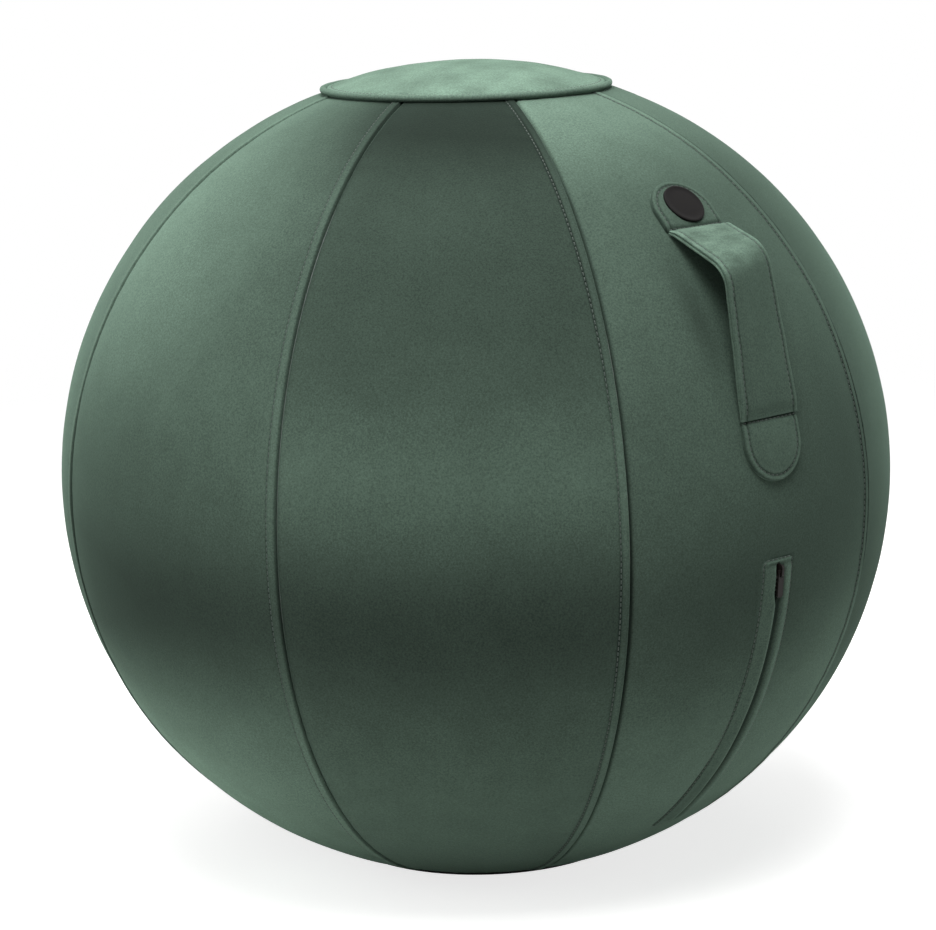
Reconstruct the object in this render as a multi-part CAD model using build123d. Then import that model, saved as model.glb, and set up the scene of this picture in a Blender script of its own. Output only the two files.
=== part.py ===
from build123d import *
import os
from math import atan2, cos, degrees, radians, sin, sqrt

# A sitting ball: an inflated bladder in a sewn velvet cover of eight gores, with a handle strap and a zip.
# Millimetres. +Z is up, the floor is z = 0, and the handle and the zip lie on the -Y side.
# Every piece is drawn in a meridian frame (x away from the axis, y to the right seen from outside, z up)
# and then turned to its place. An angle on the cover is the angle at which its skin faces, 0 at the equator.

# Ball and cover
ball_radius = 325.0
flattening = 10.0
foot_sink = 14.3
foot_blend = 150.0
cover_wall = 2.4
layer_gap = 0.3
bladder_wall = 0.9

# Gores and the seam allowances turned to one side of each seam
gore_names = ["front", "front_right", "right", "back_right", "back", "back_left", "left", "front_left"]
seam_gap = 0.03  # degrees
band_width = 8.0
band_rise = 0.8

# Crown cap and base panel
cap_radius = 112.0
cap_lap = 17.0
cap_thickness = 3.2
piping_diameter = 5.2
base_radius = 114.0
base_lap = 14.0
base_thickness = 2.0

# Handle strap
strap_width = 57.0
face_thickness = 1.5
core_thickness = 2.0
back_thickness = 1.5
core_margin = 4.0
tab_thickness = 3.2
top_stitch_angle = 41.6
top_tip_angle = 49.6
bottom_stitch_angle = 14.8
bottom_tip_angle = 6.4
tab_clearance = 2.6
grip_corner_angle = 34.05
grip_standoff = 26.0
crease_climb = 1.25  # degrees from the strap's middle to its right edge
crease_drop = 3.5
grip_bend = 24.0
upper_flex_length = 16.0
lower_flex_length = 56.0
badge_diameter = 33.0
badge_thickness = 1.6
badge_angle = 45.4

# Zip: frame and slit in the front gore
zip_top_angle = -3.7
zip_bottom_angle = -51.8
frame_width = 32.0
lip_thickness = 2.0
slit_width = 3.0
slit_margin = 0.6
lip_gap = 0.05
mouth_width = 7.0
mouth_length = 30.0

# Zip: tapes, tooth rows, stops, slider and pull tab
tape_thickness = 0.8
tape_reach = 14.0
groove_margin = 1.5
groove_room = 0.4
bead_inner = 3.1
bead_outer = 3.5
bead_swell = 0.1
bead_gap = 0.05
chain_height = 2.4
tooth_pitch = 3.0
tooth_head = 1.3
tooth_neck = 0.9
tooth_reach = 1.0
stop_length = 2.2
run_clearance = 0.25
plate_thickness = 1.1
slider_length = 13.0
slider_tail = 9.0
slider_head = 10.0
rim_width = 0.6
post_width = 2.6
post_length = 5.0
bridge_width = 2.0
bridge_length = 9.0
bridge_wall = 1.0
pull_width = 5.4
pull_length = 20.0
pull_thickness = 1.5
pull_bar = 1.5
pull_arm = 1.1
pull_room = 0.4

# Valve in the bladder
valve_azimuth = 15.0
valve_angle = -25.0
collar_diameter = 26.0
collar_depth = 4.0
neck_diameter = 14.0
neck_length = 16.0
plug_flange = 17.0
flange_thickness = 1.6
plug_stem = 9.0
plug_length = 14.0
valve_clearance = 0.1

# Derived places; the meridian is an arc of radius crown_rise whose middle lies `flattening` off the axis
crown_rise = ball_radius - flattening
skin_foot = layer_gap + base_thickness
foot_depth = crown_rise - foot_sink
equator_height = skin_foot + foot_depth
foot_spread = sqrt((crown_rise - foot_blend) ** 2 - (foot_depth - foot_blend) ** 2)
foot_angle = -degrees(atan2(foot_depth - foot_blend, foot_spread))
strap_thickness = back_thickness + core_thickness + face_thickness
half_strap = strap_width / 2
gore_step = 360 / len(gore_names)
front = Rot(0, 0, -90)


def skin_point(angle, proud=0.0):
    """Point `proud` outside the cover's skin where the skin faces `angle`, in the meridian frame."""
    if angle < foot_angle:
        middle, height, radius = flattening + foot_spread, skin_foot + foot_blend, foot_blend
    else:
        middle, height, radius = flattening, equator_height, crown_rise
    a = radians(angle)
    return Vector(middle + (radius + proud) * cos(a), 0, height + (radius + proud) * sin(a))


def angle_at_radius(radius):
    """Angle above the equator at which the skin is `radius` from the ball's axis."""
    return degrees(atan2(sqrt(crown_rise**2 - (radius - flattening) ** 2), radius - flattening))


def foot_angle_at_radius(radius):
    """Angle below the equator at which the rounded foot is `radius` from the ball's axis."""
    reach = radius - flattening - foot_spread
    return -degrees(atan2(sqrt(foot_blend**2 - reach**2), reach))


def arc_angle(length):
    """Angle that an arc of `length` takes up on the meridian."""
    return degrees(length / crown_rise)


def meridian_edges(proud, low, high):
    """Edges along the skin, `proud` outside it, from angle `low` to angle `high`."""
    marks = [low, foot_angle, high] if low < foot_angle < high else [low, high]
    return [
        ThreePointArc(skin_point(a, proud), skin_point((a + b) / 2, proud), skin_point(b, proud))
        for a, b in zip(marks, marks[1:])
    ]


def layer_face(inner, steps):
    """Meridian section of a cover layer: `inner` inside edge, and outside steps of (low, high, proud)."""
    edges = meridian_edges(inner, steps[0][0], steps[-1][1])
    corners = [skin_point(steps[0][0], inner)]
    for low, high, proud in steps:
        edges += meridian_edges(proud, low, high)
        corners += [skin_point(low, proud), skin_point(high, proud)]
    corners.append(skin_point(steps[-1][1], inner))
    edges += [Line(a, b) for a, b in zip(corners[::2], corners[1::2])]
    return make_face(edges)


def disc_face(inner, outer, edge, pole):
    """Meridian section of a round panel from angle `edge` to the axis at `pole` (90 crown, -90 foot)."""
    low, high = sorted([edge, pole])
    edges = meridian_edges(inner, low, high) + meridian_edges(outer, low, high)
    ends = [skin_point(pole, inner), skin_point(pole, outer)]
    on_axis = [Vector(0, 0, p.Z) for p in ends]
    edges += [Line(ends[0], on_axis[0]), Line(on_axis[0], on_axis[1]), Line(on_axis[1], ends[1])]
    edges.append(Line(skin_point(edge, inner), skin_point(edge, outer)))
    return make_face(edges)


def ball_solid(proud):
    """Whole ball, `proud` outside the cover's skin."""
    crown, foot = skin_point(90, proud), skin_point(-90, proud)
    edges = meridian_edges(proud, -90, 90)
    top, low = Vector(0, 0, crown.Z), Vector(0, 0, foot.Z)
    edges += [Line(crown, top), Line(top, low), Line(low, foot)]
    return revolve(make_face(edges), Axis.Z)


def strip(y_low, y_high, inner, outer, low, high):
    """Strip along the front meridian, between two sideways limits, two heights and two angles."""
    face = layer_face(inner, [(low, high, outer)])
    return extrude(Pos(0, y_low, 0) * face, amount=y_high - y_low, dir=(0, 1, 0))


def tangent_plane(angle, proud=0.0):
    """Plane on the skin: x to the right, y up along the meridian, z outwards."""
    a = radians(angle)
    return Plane(skin_point(angle, proud), x_dir=(0, 1, 0), z_dir=(cos(a), 0, sin(a)))


# Heights of the zip's layers, measured outwards from the skin
tape_top = -(cover_wall + layer_gap + tape_reach**2 / (2 * crown_rise))
chain_middle = tape_top - tape_thickness / 2
channel_half = chain_height / 2 + run_clearance
slider_bottom = chain_middle - channel_half - plate_thickness
lip_top = layer_gap + lip_thickness
pull_axis = lip_top + pull_room + pull_thickness / 2
window_half = slider_head / 2 + pull_room

# Places along the zip
slit_top = zip_top_angle - arc_angle(slit_margin)
slit_bottom = zip_bottom_angle + arc_angle(slit_margin)
top_stop_angle = slit_top - arc_angle(run_clearance + stop_length)
slider_angle = top_stop_angle - arc_angle(run_clearance + slider_length / 2)
bottom_stop_angle = slit_bottom + arc_angle(run_clearance + stop_length)
row_end = bottom_stop_angle + arc_angle(run_clearance)
first_tooth = slider_angle - arc_angle(tooth_pitch / 2)


def zip_groove(margin):
    """Hollow that the zip presses into the bladder, `margin` larger all round."""
    half = tape_reach + groove_margin + margin
    reach = arc_angle(groove_margin + margin)
    floor = slider_bottom - groove_room - margin
    return strip(-half, half, floor, 0, zip_bottom_angle - reach, zip_top_angle + reach)


def valve_place():
    """Place of the valve on the bladder, with z outwards along its axis."""
    return Rot(0, 0, valve_azimuth) * tangent_plane(valve_angle, -(cover_wall + layer_gap)).location


def make_bladder():
    outer = -(cover_wall + layer_gap)
    wall = ball_solid(outer) - zip_groove(0)
    hollow = ball_solid(outer - bladder_wall) - zip_groove(bladder_wall)
    hole = Cylinder(collar_diameter / 2 + valve_clearance, 4 * collar_depth)
    return wall - hollow - valve_place() * hole


def make_valve_collar():
    """Moulded ring with a recess for the plug's flange and a neck that points into the bladder."""
    body = Pos(0, 0, -bladder_wall - collar_depth / 2) * Cylinder(collar_diameter / 2, collar_depth)
    neck = Pos(0, 0, -bladder_wall - neck_length / 2) * Cylinder(neck_diameter / 2, neck_length)
    recess_depth = flange_thickness + valve_clearance
    recess = Pos(0, 0, -bladder_wall - recess_depth / 2)
    recess *= Cylinder(plug_flange / 2 + valve_clearance, recess_depth)
    bore = Cylinder(plug_stem / 2 + valve_clearance, 4 * neck_length)
    return valve_place() * (body + neck - recess - bore)


def make_valve_plug():
    """Push-in stopper: thin flange, stem with a tapered nose."""
    top = -bladder_wall
    flange = Pos(0, 0, top - flange_thickness / 2) * Cylinder(plug_flange / 2, flange_thickness)
    stem = Pos(0, 0, top - plug_length / 2) * Cylinder(plug_stem / 2, plug_length)
    nose = stem.edges().filter_by(GeomType.CIRCLE).sort_by(Axis.Z)[:1]
    return valve_place() * (flange + chamfer(nose, plug_stem / 6))


def make_gore(index):
    """One 45 degree gore with its raised seam allowance along the right-hand edge."""
    low = foot_angle_at_radius(base_radius - base_lap)
    high = angle_at_radius(cap_radius - cap_lap)
    band_low = foot_angle_at_radius(base_radius) + arc_angle(band_rise)
    band_high = angle_at_radius(cap_radius) - arc_angle(piping_diameter / 2)
    back_axis = Axis((0, 0, 0), (0, 0, -1))
    turn = gore_step - seam_gap
    plain = revolve(layer_face(-cover_wall, [(low, high, 0)]), back_axis, turn)
    steps = [(low, band_low, 0), (band_low, band_high, band_rise), (band_high, high, 0)]
    raised = revolve(layer_face(-cover_wall, steps), back_axis, turn)
    tall = 3 * ball_radius
    edge_slab = Pos(ball_radius, -band_width / 2, equator_height) * Box(2 * ball_radius, band_width, tall)
    gore = (plain - edge_slab) + (raised & edge_slab)
    gore = Rot(0, 0, (gore_step - seam_gap) / 2) * gore
    if index == 0:
        window = strip(-window_half, window_half, -2 * cover_wall, cover_wall, slit_bottom, slit_top)
        gore -= window
    return Rot(0, 0, index * gore_step) * gore


def make_top_cap():
    edge = angle_at_radius(cap_radius - piping_diameter - layer_gap)
    return revolve(disc_face(layer_gap, layer_gap + cap_thickness, edge, 90), Axis.Z)


def make_cap_pad():
    edge = angle_at_radius(cap_radius - cap_lap - layer_gap)
    return revolve(disc_face(-cover_wall, 0, edge, 90), Axis.Z)


def make_cap_piping():
    """Rolled edge of the cap, a round cord that lies on the gores."""
    radius = piping_diameter / 2
    place = skin_point(angle_at_radius(cap_radius - radius), layer_gap + radius)
    return revolve(Plane.XZ * Pos(place.X, place.Z) * Circle(radius), Axis.Z)


def make_base_panel():
    edge = foot_angle_at_radius(base_radius)
    return revolve(disc_face(layer_gap, layer_gap + base_thickness, edge, -90), Axis.Z)


def make_base_insert():
    edge = foot_angle_at_radius(base_radius - base_lap - layer_gap)
    return revolve(disc_face(-cover_wall, 0, edge, -90), Axis.Z)


def patch(outline, angle, inner, outer):
    """Piece of cover layer that has a flat `outline`, seen along the skin's normal at `angle`."""
    reach = arc_angle(strap_width)
    layer = revolve(layer_face(inner, [(angle - reach, angle + reach, outer)]), Axis.Z, 3 * reach)
    layer = Rot(0, 0, -1.5 * reach) * layer
    tool = extrude(tangent_plane(angle) * outline, amount=strap_width / 2, both=True)
    return layer & tool


def tab_outline(length, up):
    """Sewn strap end: straight sides from the stitch line at y = 0, and a half-round tip."""
    sign = 1 if up else -1
    side = length - half_strap
    edges = [
        Line((-half_strap, 0), (half_strap, 0)),
        Line((half_strap, 0), (half_strap, sign * side)),
        ThreePointArc((half_strap, sign * side), (0, sign * length), (-half_strap, sign * side)),
        Line((-half_strap, sign * side), (-half_strap, 0)),
    ]
    return make_face(edges)


def make_handle_tab(stitch_angle, tip_angle):
    """Strap end sewn flat onto the cover."""
    up = tip_angle > stitch_angle
    start = stitch_angle + arc_angle(tab_clearance) * (1 if up else -1)
    length = radians(abs(tip_angle - start)) * crown_rise
    return patch(tab_outline(length, up), start, layer_gap, layer_gap + tab_thickness)


def make_badge():
    floor = 2 * layer_gap + tab_thickness
    return patch(Circle(badge_diameter / 2), badge_angle, floor, floor + badge_thickness)


# The strap's free span: its inside runs straight from each stitch line to a rounded corner
span_top = skin_point(top_stitch_angle, layer_gap)
span_bottom = skin_point(bottom_stitch_angle, layer_gap)


class StrapLine:
    """Free span `aside` mm right of its middle; the crease climbs and nears the cover from left to right."""

    def __init__(self, aside):
        share = aside / half_strap
        corner = skin_point(grip_corner_angle + crease_climb * share, grip_standoff - crease_drop * share)
        self.place = Pos(0, aside, 0)
        self.upper_run = (corner - span_top).normalized()
        self.lower_run = (span_bottom - corner).normalized()
        self.upper_normal = Vector(-self.upper_run.Z, 0, self.upper_run.X)
        self.lower_normal = Vector(-self.lower_run.Z, 0, self.lower_run.X)
        both = self.upper_normal + self.lower_normal
        setback = grip_bend * (self.upper_normal - self.lower_normal).length / both.length
        self.bend_normal = both.normalized()
        self.bend_start = corner - self.upper_run * setback
        self.bend_end = corner + self.lower_run * setback
        self.bend_middle = self.bend_start - self.upper_normal * grip_bend
        self.grip_start = span_top + self.upper_run * upper_flex_length
        self.grip_end = span_bottom - self.lower_run * lower_flex_length

    def flex(self, start, end, normal):
        """Section of a straight stretch between a stitch line and the grip."""
        away = normal * strap_thickness
        return self.place * make_face(Polyline(start, end, end + away, start + away, close=True))

    def upper_flex(self):
        return self.flex(span_top, self.grip_start, self.upper_normal)

    def lower_flex(self):
        return self.flex(self.grip_end, span_bottom, self.lower_normal)

    def grip(self, low, high):
        """Section of one layer of the grip between two heights above the strap's inside."""
        first = self.grip_start + self.upper_run * layer_gap
        last = self.grip_end - self.lower_run * layer_gap
        edges = []
        for rise in (low, high):
            a, b = first + self.upper_normal * rise, self.bend_start + self.upper_normal * rise
            c, d = self.bend_end + self.lower_normal * rise, last + self.lower_normal * rise
            top = self.bend_middle + self.bend_normal * (grip_bend + rise)
            edges += [Line(a, b), ThreePointArc(b, top, c), Line(c, d)]
        edges.append(Line(first + self.upper_normal * low, first + self.upper_normal * high))
        edges.append(Line(last + self.lower_normal * low, last + self.lower_normal * high))
        return self.place * make_face(edges)


def strap_piece(section, margin=0.0):
    """Piece of strap ruled from its section at the left edge to that at the right edge, less a margin."""
    piece = loft([section(StrapLine(aside)) for aside in (-half_strap, half_strap)], ruled=True)
    return piece & Box(4 * ball_radius, 2 * (half_strap - margin), 4 * ball_radius)


def grip_layer(low, high, margin=0.0):
    return strap_piece(lambda line: line.grip(low, high), margin)


def make_zip_lip(side):
    """Folded edge of cover beside the slit; side is -1 for left and 1 for right."""
    half = frame_width / 2
    low, high = sorted([side * half, side * lip_gap])
    lip = strip(low, high, layer_gap, lip_top, zip_bottom_angle, zip_top_angle)
    mouth_end = slit_top - arc_angle(mouth_length)
    lip -= strip(-slit_width / 2, slit_width / 2, 0, 2 * lip_top, slit_bottom, slit_top)
    lip -= strip(-mouth_width / 2, mouth_width / 2, 0, 2 * lip_top, mouth_end, slit_top)
    return lip


def make_zip_tape(side):
    low, high = sorted([side * (bead_outer + bead_gap), side * tape_reach])
    return strip(low, high, tape_top - tape_thickness, tape_top, slit_bottom, slit_top)


def make_zip_teeth(side):
    """Row of moulded teeth along a corded edge; the two rows mesh half a pitch apart."""
    low, high = sorted([side * bead_inner, side * bead_outer])
    bead = tape_thickness / 2 + bead_swell
    row = strip(low, high, chain_middle - bead, chain_middle + bead, row_end, first_tooth)
    step = arc_angle(tooth_pitch) * crown_rise / (crown_rise + chain_middle)
    angle = first_tooth - step * (0.5 if side < 0 else 1.0)
    outline = make_face(
        Polyline(
            (side * bead_outer, -tooth_head / 2),
            (side * tooth_reach, -tooth_neck / 2),
            (-side * tooth_reach, -tooth_head / 2),
            (-side * tooth_reach, tooth_head / 2),
            (side * tooth_reach, tooth_neck / 2),
            (side * bead_outer, tooth_head / 2),
            close=True,
        )
    )
    teeth = []
    while angle > row_end + step / 2:
        place = tangent_plane(angle, chain_middle)
        teeth.append(extrude(place * outline, amount=chain_height / 2, both=True))
        angle -= step
    return row + teeth


def make_top_stop():
    """Two clamps, one on each tape, that the slider's shoulders meet."""
    inner, outer = post_width / 2 + run_clearance, bead_inner
    heights = (chain_middle - chain_height / 2, chain_middle + chain_height / 2)
    places = (top_stop_angle, top_stop_angle + arc_angle(stop_length))
    return [strip(*sorted([side * inner, side * outer]), *heights, *places) for side in (-1, 1)]


def make_bottom_stop():
    """Clamp that joins the two rows at the lower end."""
    heights = (chain_middle - chain_height / 2, chain_middle + chain_height / 2)
    low = bottom_stop_angle - arc_angle(stop_length)
    return strip(-bead_outer, bead_outer, *heights, low, bottom_stop_angle)


def slider_outline(margin):
    """Slider seen from outside, narrower at the tail, `margin` smaller all round."""
    head, tail, end = slider_head / 2 - margin, slider_tail / 2 - margin, slider_length / 2
    return make_face(Polyline((-tail, -end), (tail, -end), (head, end), (-head, end), close=True))


def make_zip_slider():
    """Two plates with side rims, joined by a post, and a bridge that holds the pull tab."""
    solid, rims = slider_outline(0), slider_outline(0) - slider_outline(rim_width)
    tape_room = tape_thickness / 2 + run_clearance
    rim_height = channel_half - tape_room
    body = extrude(Pos(0, 0, channel_half) * solid, plate_thickness)
    body += extrude(Pos(0, 0, -channel_half - plate_thickness) * solid, plate_thickness)
    body += extrude(Pos(0, 0, tape_room) * rims, rim_height)
    body += extrude(Pos(0, 0, -channel_half) * rims, rim_height)
    post_low = slider_length / 2 - post_length
    post_high = slider_length / 2
    wedge = Polyline((0, post_low), (post_width / 2, post_high), (-post_width / 2, post_high), close=True)
    body += extrude(Pos(0, 0, -channel_half) * make_face(wedge), 2 * channel_half)
    rise = pull_axis - chain_middle
    eye = pull_bar / 2 + pull_room
    top = rise + eye + bridge_wall
    foot = channel_half + plate_thickness
    bridge = Pos(0, 0, (foot + top) / 2) * Box(bridge_width, bridge_length, top - foot)
    corners = bridge.edges().filter_by(Axis.X).sort_by(Axis.Z)[-2:]
    bridge = fillet(corners, bridge_length / 4)
    bridge -= Pos(0, 0, rise) * Rot(0, 90, 0) * Cylinder(eye, 2 * bridge_width)
    return tangent_plane(slider_angle, chain_middle).location * (body + bridge)


def make_pull_tab():
    """Flat tab with an eye: its bar passes under the slider's bridge."""
    eye_low = bridge_length / 2 + pull_room
    plate = Pos(0, -(pull_length - pull_bar / 2) / 2) * Rectangle(pull_width, pull_length + pull_bar / 2)
    eye_length = eye_low - pull_bar / 2
    eye = Pos(0, -(eye_low + pull_bar / 2) / 2) * Rectangle(pull_width - 2 * pull_arm, eye_length)
    tip = plate.vertices().sort_by(Axis.Y)[:2]
    outline = fillet(tip, pull_width / 3) - eye
    tab = extrude(outline, pull_thickness / 2, both=True)
    return tangent_plane(slider_angle, pull_axis).location * tab


def build_parts():
    """Every piece in the meridian frame of the front, by node name."""
    parts = {"bladder": make_bladder(), "valve_collar": make_valve_collar(), "valve_plug": make_valve_plug()}
    for index, name in enumerate(gore_names):
        parts["gore_" + name] = make_gore(index)
    parts["top_cap"] = make_top_cap()
    parts["cap_pad"] = make_cap_pad()
    parts["cap_piping"] = make_cap_piping()
    parts["base_panel"] = make_base_panel()
    parts["base_insert"] = make_base_insert()
    parts["handle_top_tab"] = make_handle_tab(top_stitch_angle, top_tip_angle)
    parts["handle_bottom_tab"] = make_handle_tab(bottom_stitch_angle, bottom_tip_angle)
    parts["handle_upper_flex"] = strap_piece(StrapLine.upper_flex)
    parts["handle_lower_flex"] = strap_piece(StrapLine.lower_flex)
    parts["grip_back"] = grip_layer(0, back_thickness)
    parts["grip_core"] = grip_layer(back_thickness, back_thickness + core_thickness, core_margin)
    parts["grip_face"] = grip_layer(back_thickness + core_thickness, strap_thickness)
    parts["badge"] = make_badge()
    for side, name in ((-1, "left"), (1, "right")):
        parts["zip_lip_" + name] = make_zip_lip(side)
        parts["zip_tape_" + name] = make_zip_tape(side)
        parts["zip_teeth_" + name] = make_zip_teeth(side)
    parts["zip_top_stop"] = make_top_stop()
    parts["zip_bottom_stop"] = make_bottom_stop()
    parts["zip_slider"] = make_zip_slider()
    parts["pull_tab"] = make_pull_tab()
    return parts


def main():
    os.makedirs("parts", exist_ok=True)
    for name, piece in build_parts().items():
        solids = piece if isinstance(piece, list) else piece.solids()
        placed = [front * solid for solid in solids]
        export_step(placed[0] if len(placed) == 1 else Compound(children=placed), f"parts/{name}.step")
    places = {
        "zip track middle": Vector(flattening, 0, equator_height),
        "pull tab pivot": skin_point(slider_angle, pull_axis),
        "handle pivot top": span_top,
        "handle pivot bottom": span_bottom,
    }
    for name, place in places.items():
        print(name, [round(v, 3) for v in place.rotate(Axis.Z, -90)])
    print("slider travel", round(slider_angle - row_end - arc_angle(slider_length / 2), 2), "degrees")


main()
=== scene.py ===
"""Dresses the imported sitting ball: gores, cap, handle, zip, base panel, bladder, light and camera."""

import logging
from dataclasses import dataclass
from enum import Enum
from math import atan2, cos, degrees, pi, radians, sin, sqrt

import bpy
import numpy as np
from mathutils import Matrix, Vector


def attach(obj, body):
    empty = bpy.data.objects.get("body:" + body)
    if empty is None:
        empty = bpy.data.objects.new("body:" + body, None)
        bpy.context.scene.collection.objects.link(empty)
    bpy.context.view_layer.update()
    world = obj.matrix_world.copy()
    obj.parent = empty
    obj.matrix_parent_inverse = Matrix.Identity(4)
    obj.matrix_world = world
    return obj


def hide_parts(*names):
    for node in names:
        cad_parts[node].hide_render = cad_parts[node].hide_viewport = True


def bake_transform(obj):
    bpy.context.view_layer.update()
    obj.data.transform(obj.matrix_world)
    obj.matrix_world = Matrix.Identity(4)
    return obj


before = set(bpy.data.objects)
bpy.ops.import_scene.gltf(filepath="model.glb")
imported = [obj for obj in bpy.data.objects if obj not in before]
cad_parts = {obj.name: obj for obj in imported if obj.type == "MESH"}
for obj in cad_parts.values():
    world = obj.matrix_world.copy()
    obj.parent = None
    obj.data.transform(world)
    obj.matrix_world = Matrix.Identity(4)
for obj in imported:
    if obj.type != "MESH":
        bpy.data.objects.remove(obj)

Array = np.ndarray
Object = bpy.types.Object
Material = bpy.types.Material

MM = 0.001
ROOT = "root"
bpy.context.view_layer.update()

log = logging.getLogger("sitting_ball")


class Side(Enum):
    """Side of the front meridian, seen from outside."""

    LEFT = -1
    RIGHT = 1


class TabEnd(Enum):
    """Which sewn end of the handle strap; the value is the way its tip points along the meridian."""

    TOP = 1
    BOTTOM = -1


def smoothstep(low: float, high: float, x: Array) -> Array:
    """Smooth ramp: 0 up to low, 1 from high, and 3s^2 - 2s^3 of the share s between them."""
    s = np.clip((x - low) / (high - low), 0.0, 1.0)
    return s * s * (3.0 - 2.0 * s)


def bell(x: Array, middle: float, width: float) -> Array:
    """Bell curve: 1 at middle, falling as the exponential of minus the squared distance over width."""
    return np.exp(-(((x - middle) / width) ** 2))


def rolled_edge(inset: Array, radius: float) -> Array:
    """Quarter round of height 1 at an edge: the root of 1 minus the square of 1 - inset / radius."""
    return np.sqrt(np.clip(1 - (1 - np.clip(inset / radius, 0, 1)) ** 2, 0, 1))


def lengths(steps: Array) -> Array:
    """Distance along a line at each of its points, from 0, where the points are `steps` apart."""
    return np.concatenate([[0.0], np.cumsum(steps)])


def ripple(u: Array, v: Array, wavelength: float, seed: int) -> Array:
    """Gentle unevenness, the mean of six sine waves in seeded directions.

    Args:
        u: first place on the surface, in mm.
        v: second place on the surface, in mm.
        wavelength: typical length of a wave, in mm.
        seed: number that fixes the directions, lengths and phases.

    Returns:
        Values between -1 and 1, as an array of the shape of u and v together.
    """
    rng = np.random.default_rng(seed)
    waves = 6
    total = np.zeros(np.broadcast(u, v).shape)
    for heading, phase, stretch in rng.uniform((0, 0, 0.7), (2 * pi, 2 * pi, 1.5), (waves, 3)):
        turn = 2 * pi / (wavelength * stretch)
        total += np.sin((u * cos(heading) + v * sin(heading)) * turn + phase)
    return total / waves


def grid_faces(rows: int, columns: int, wrap_rows: bool = False, wrap_columns: bool = False) -> Array:
    """Quads over a grid of points in row-major order, facing outwards where rows rise and columns go right.

    Args:
        rows: number of rows of points.
        columns: number of points in a row.
        wrap_rows: joins the last row to the first.
        wrap_columns: joins the last column to the first.

    Returns:
        Point numbers, four to a face.
    """
    i = np.arange(rows if wrap_rows else rows - 1)[:, None]
    j = np.arange(columns if wrap_columns else columns - 1)[None, :]
    up, right = (i + 1) % rows, (j + 1) % columns
    quad = [i * columns + j, i * columns + right, up * columns + right, up * columns + j]
    return np.stack(np.broadcast_arrays(*quad), axis=-1).reshape(-1, 4)


def link_new(name: str, data: bpy.types.ID) -> Object:
    """New object that shows some data, linked to the scene at the origin.

    Args:
        name: name of the object.
        data: its mesh, camera or lamp.

    Returns:
        The new object.
    """
    piece = bpy.data.objects.new(name, data)
    bpy.context.scene.collection.objects.link(piece)
    return piece


def mesh_object(name: str, vertices: Array, faces: list[Array]) -> Object:
    """Puts vertices and faces into a smooth-shaded mesh at the origin.

    Args:
        name: name of the piece.
        vertices: places in mm, three numbers each.
        faces: arrays of point numbers, one array for each corner count.

    Returns:
        The new object, linked to the scene.
    """
    corners = np.concatenate([part.ravel() for part in faces])
    counts = np.concatenate([np.full(len(part), part.shape[1]) for part in faces])
    mesh = bpy.data.meshes.new(name)
    mesh.vertices.add(len(vertices))
    mesh.vertices.foreach_set("co", (vertices * MM).astype(np.float32).ravel())
    mesh.loops.add(len(corners))
    mesh.loops.foreach_set("vertex_index", corners.astype(np.int32))
    mesh.polygons.add(len(counts))
    mesh.polygons.foreach_set("loop_start", (np.cumsum(counts) - counts).astype(np.int32))
    mesh.polygons.foreach_set("use_smooth", np.ones(len(counts), dtype=bool))
    mesh.update(calc_edges=True)
    mesh.validate()
    return link_new(name, mesh)


def grid_object(name: str, points: Array, wrap_rows: bool = False, wrap_columns: bool = False) -> Object:
    """Object whose surface is a grid of points (rows, columns, 3) in mm.

    Args:
        name: name of the piece.
        points: places in mm (rows, columns, 3).
        wrap_rows: joins the last row to the first.
        wrap_columns: joins the last column to the first.

    Returns:
        The new object.
    """
    rows, columns = points.shape[:2]
    faces = grid_faces(rows, columns, wrap_rows, wrap_columns)
    return mesh_object(name, points.reshape(-1, 3), [faces])


def closed_object(name: str, points: Array, first: Array, last: Array, flat_ends: bool = False) -> Object:
    """Closed surface: rings of points joined in order, with a fan of triangles to one point at each end.

    Args:
        name: name of the piece.
        points: rings (rows, columns, 3) in mm, each ring closed on itself.
        first: point that closes the first ring.
        last: point that closes the last ring.
        flat_ends: gives the two fans their own points, so that they leave the rings' own shading alone.

    Returns:
        The new object.
    """
    rows, columns = points.shape[:2]
    count = rows * columns
    j = np.arange(columns)
    k = (j + 1) % columns
    low, top = (count + 2, count + 2 + columns) if flat_ends else (0, count - columns)
    first_fan = np.stack([np.full(columns, count), low + k, low + j], axis=-1)
    last_fan = np.stack([top + j, top + k, np.full(columns, count + 1)], axis=-1)
    copies = [points[0], points[-1]] if flat_ends else []
    vertices = np.concatenate([points.reshape(-1, 3), [first, last], *copies])
    return mesh_object(name, vertices, [grid_faces(rows, columns, wrap_columns=True), first_fan, last_fan])


def unit(vectors: Array) -> Array:
    """Vectors scaled to length 1 along the last axis."""
    return vectors / np.linalg.norm(vectors, axis=-1, keepdims=True)


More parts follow.
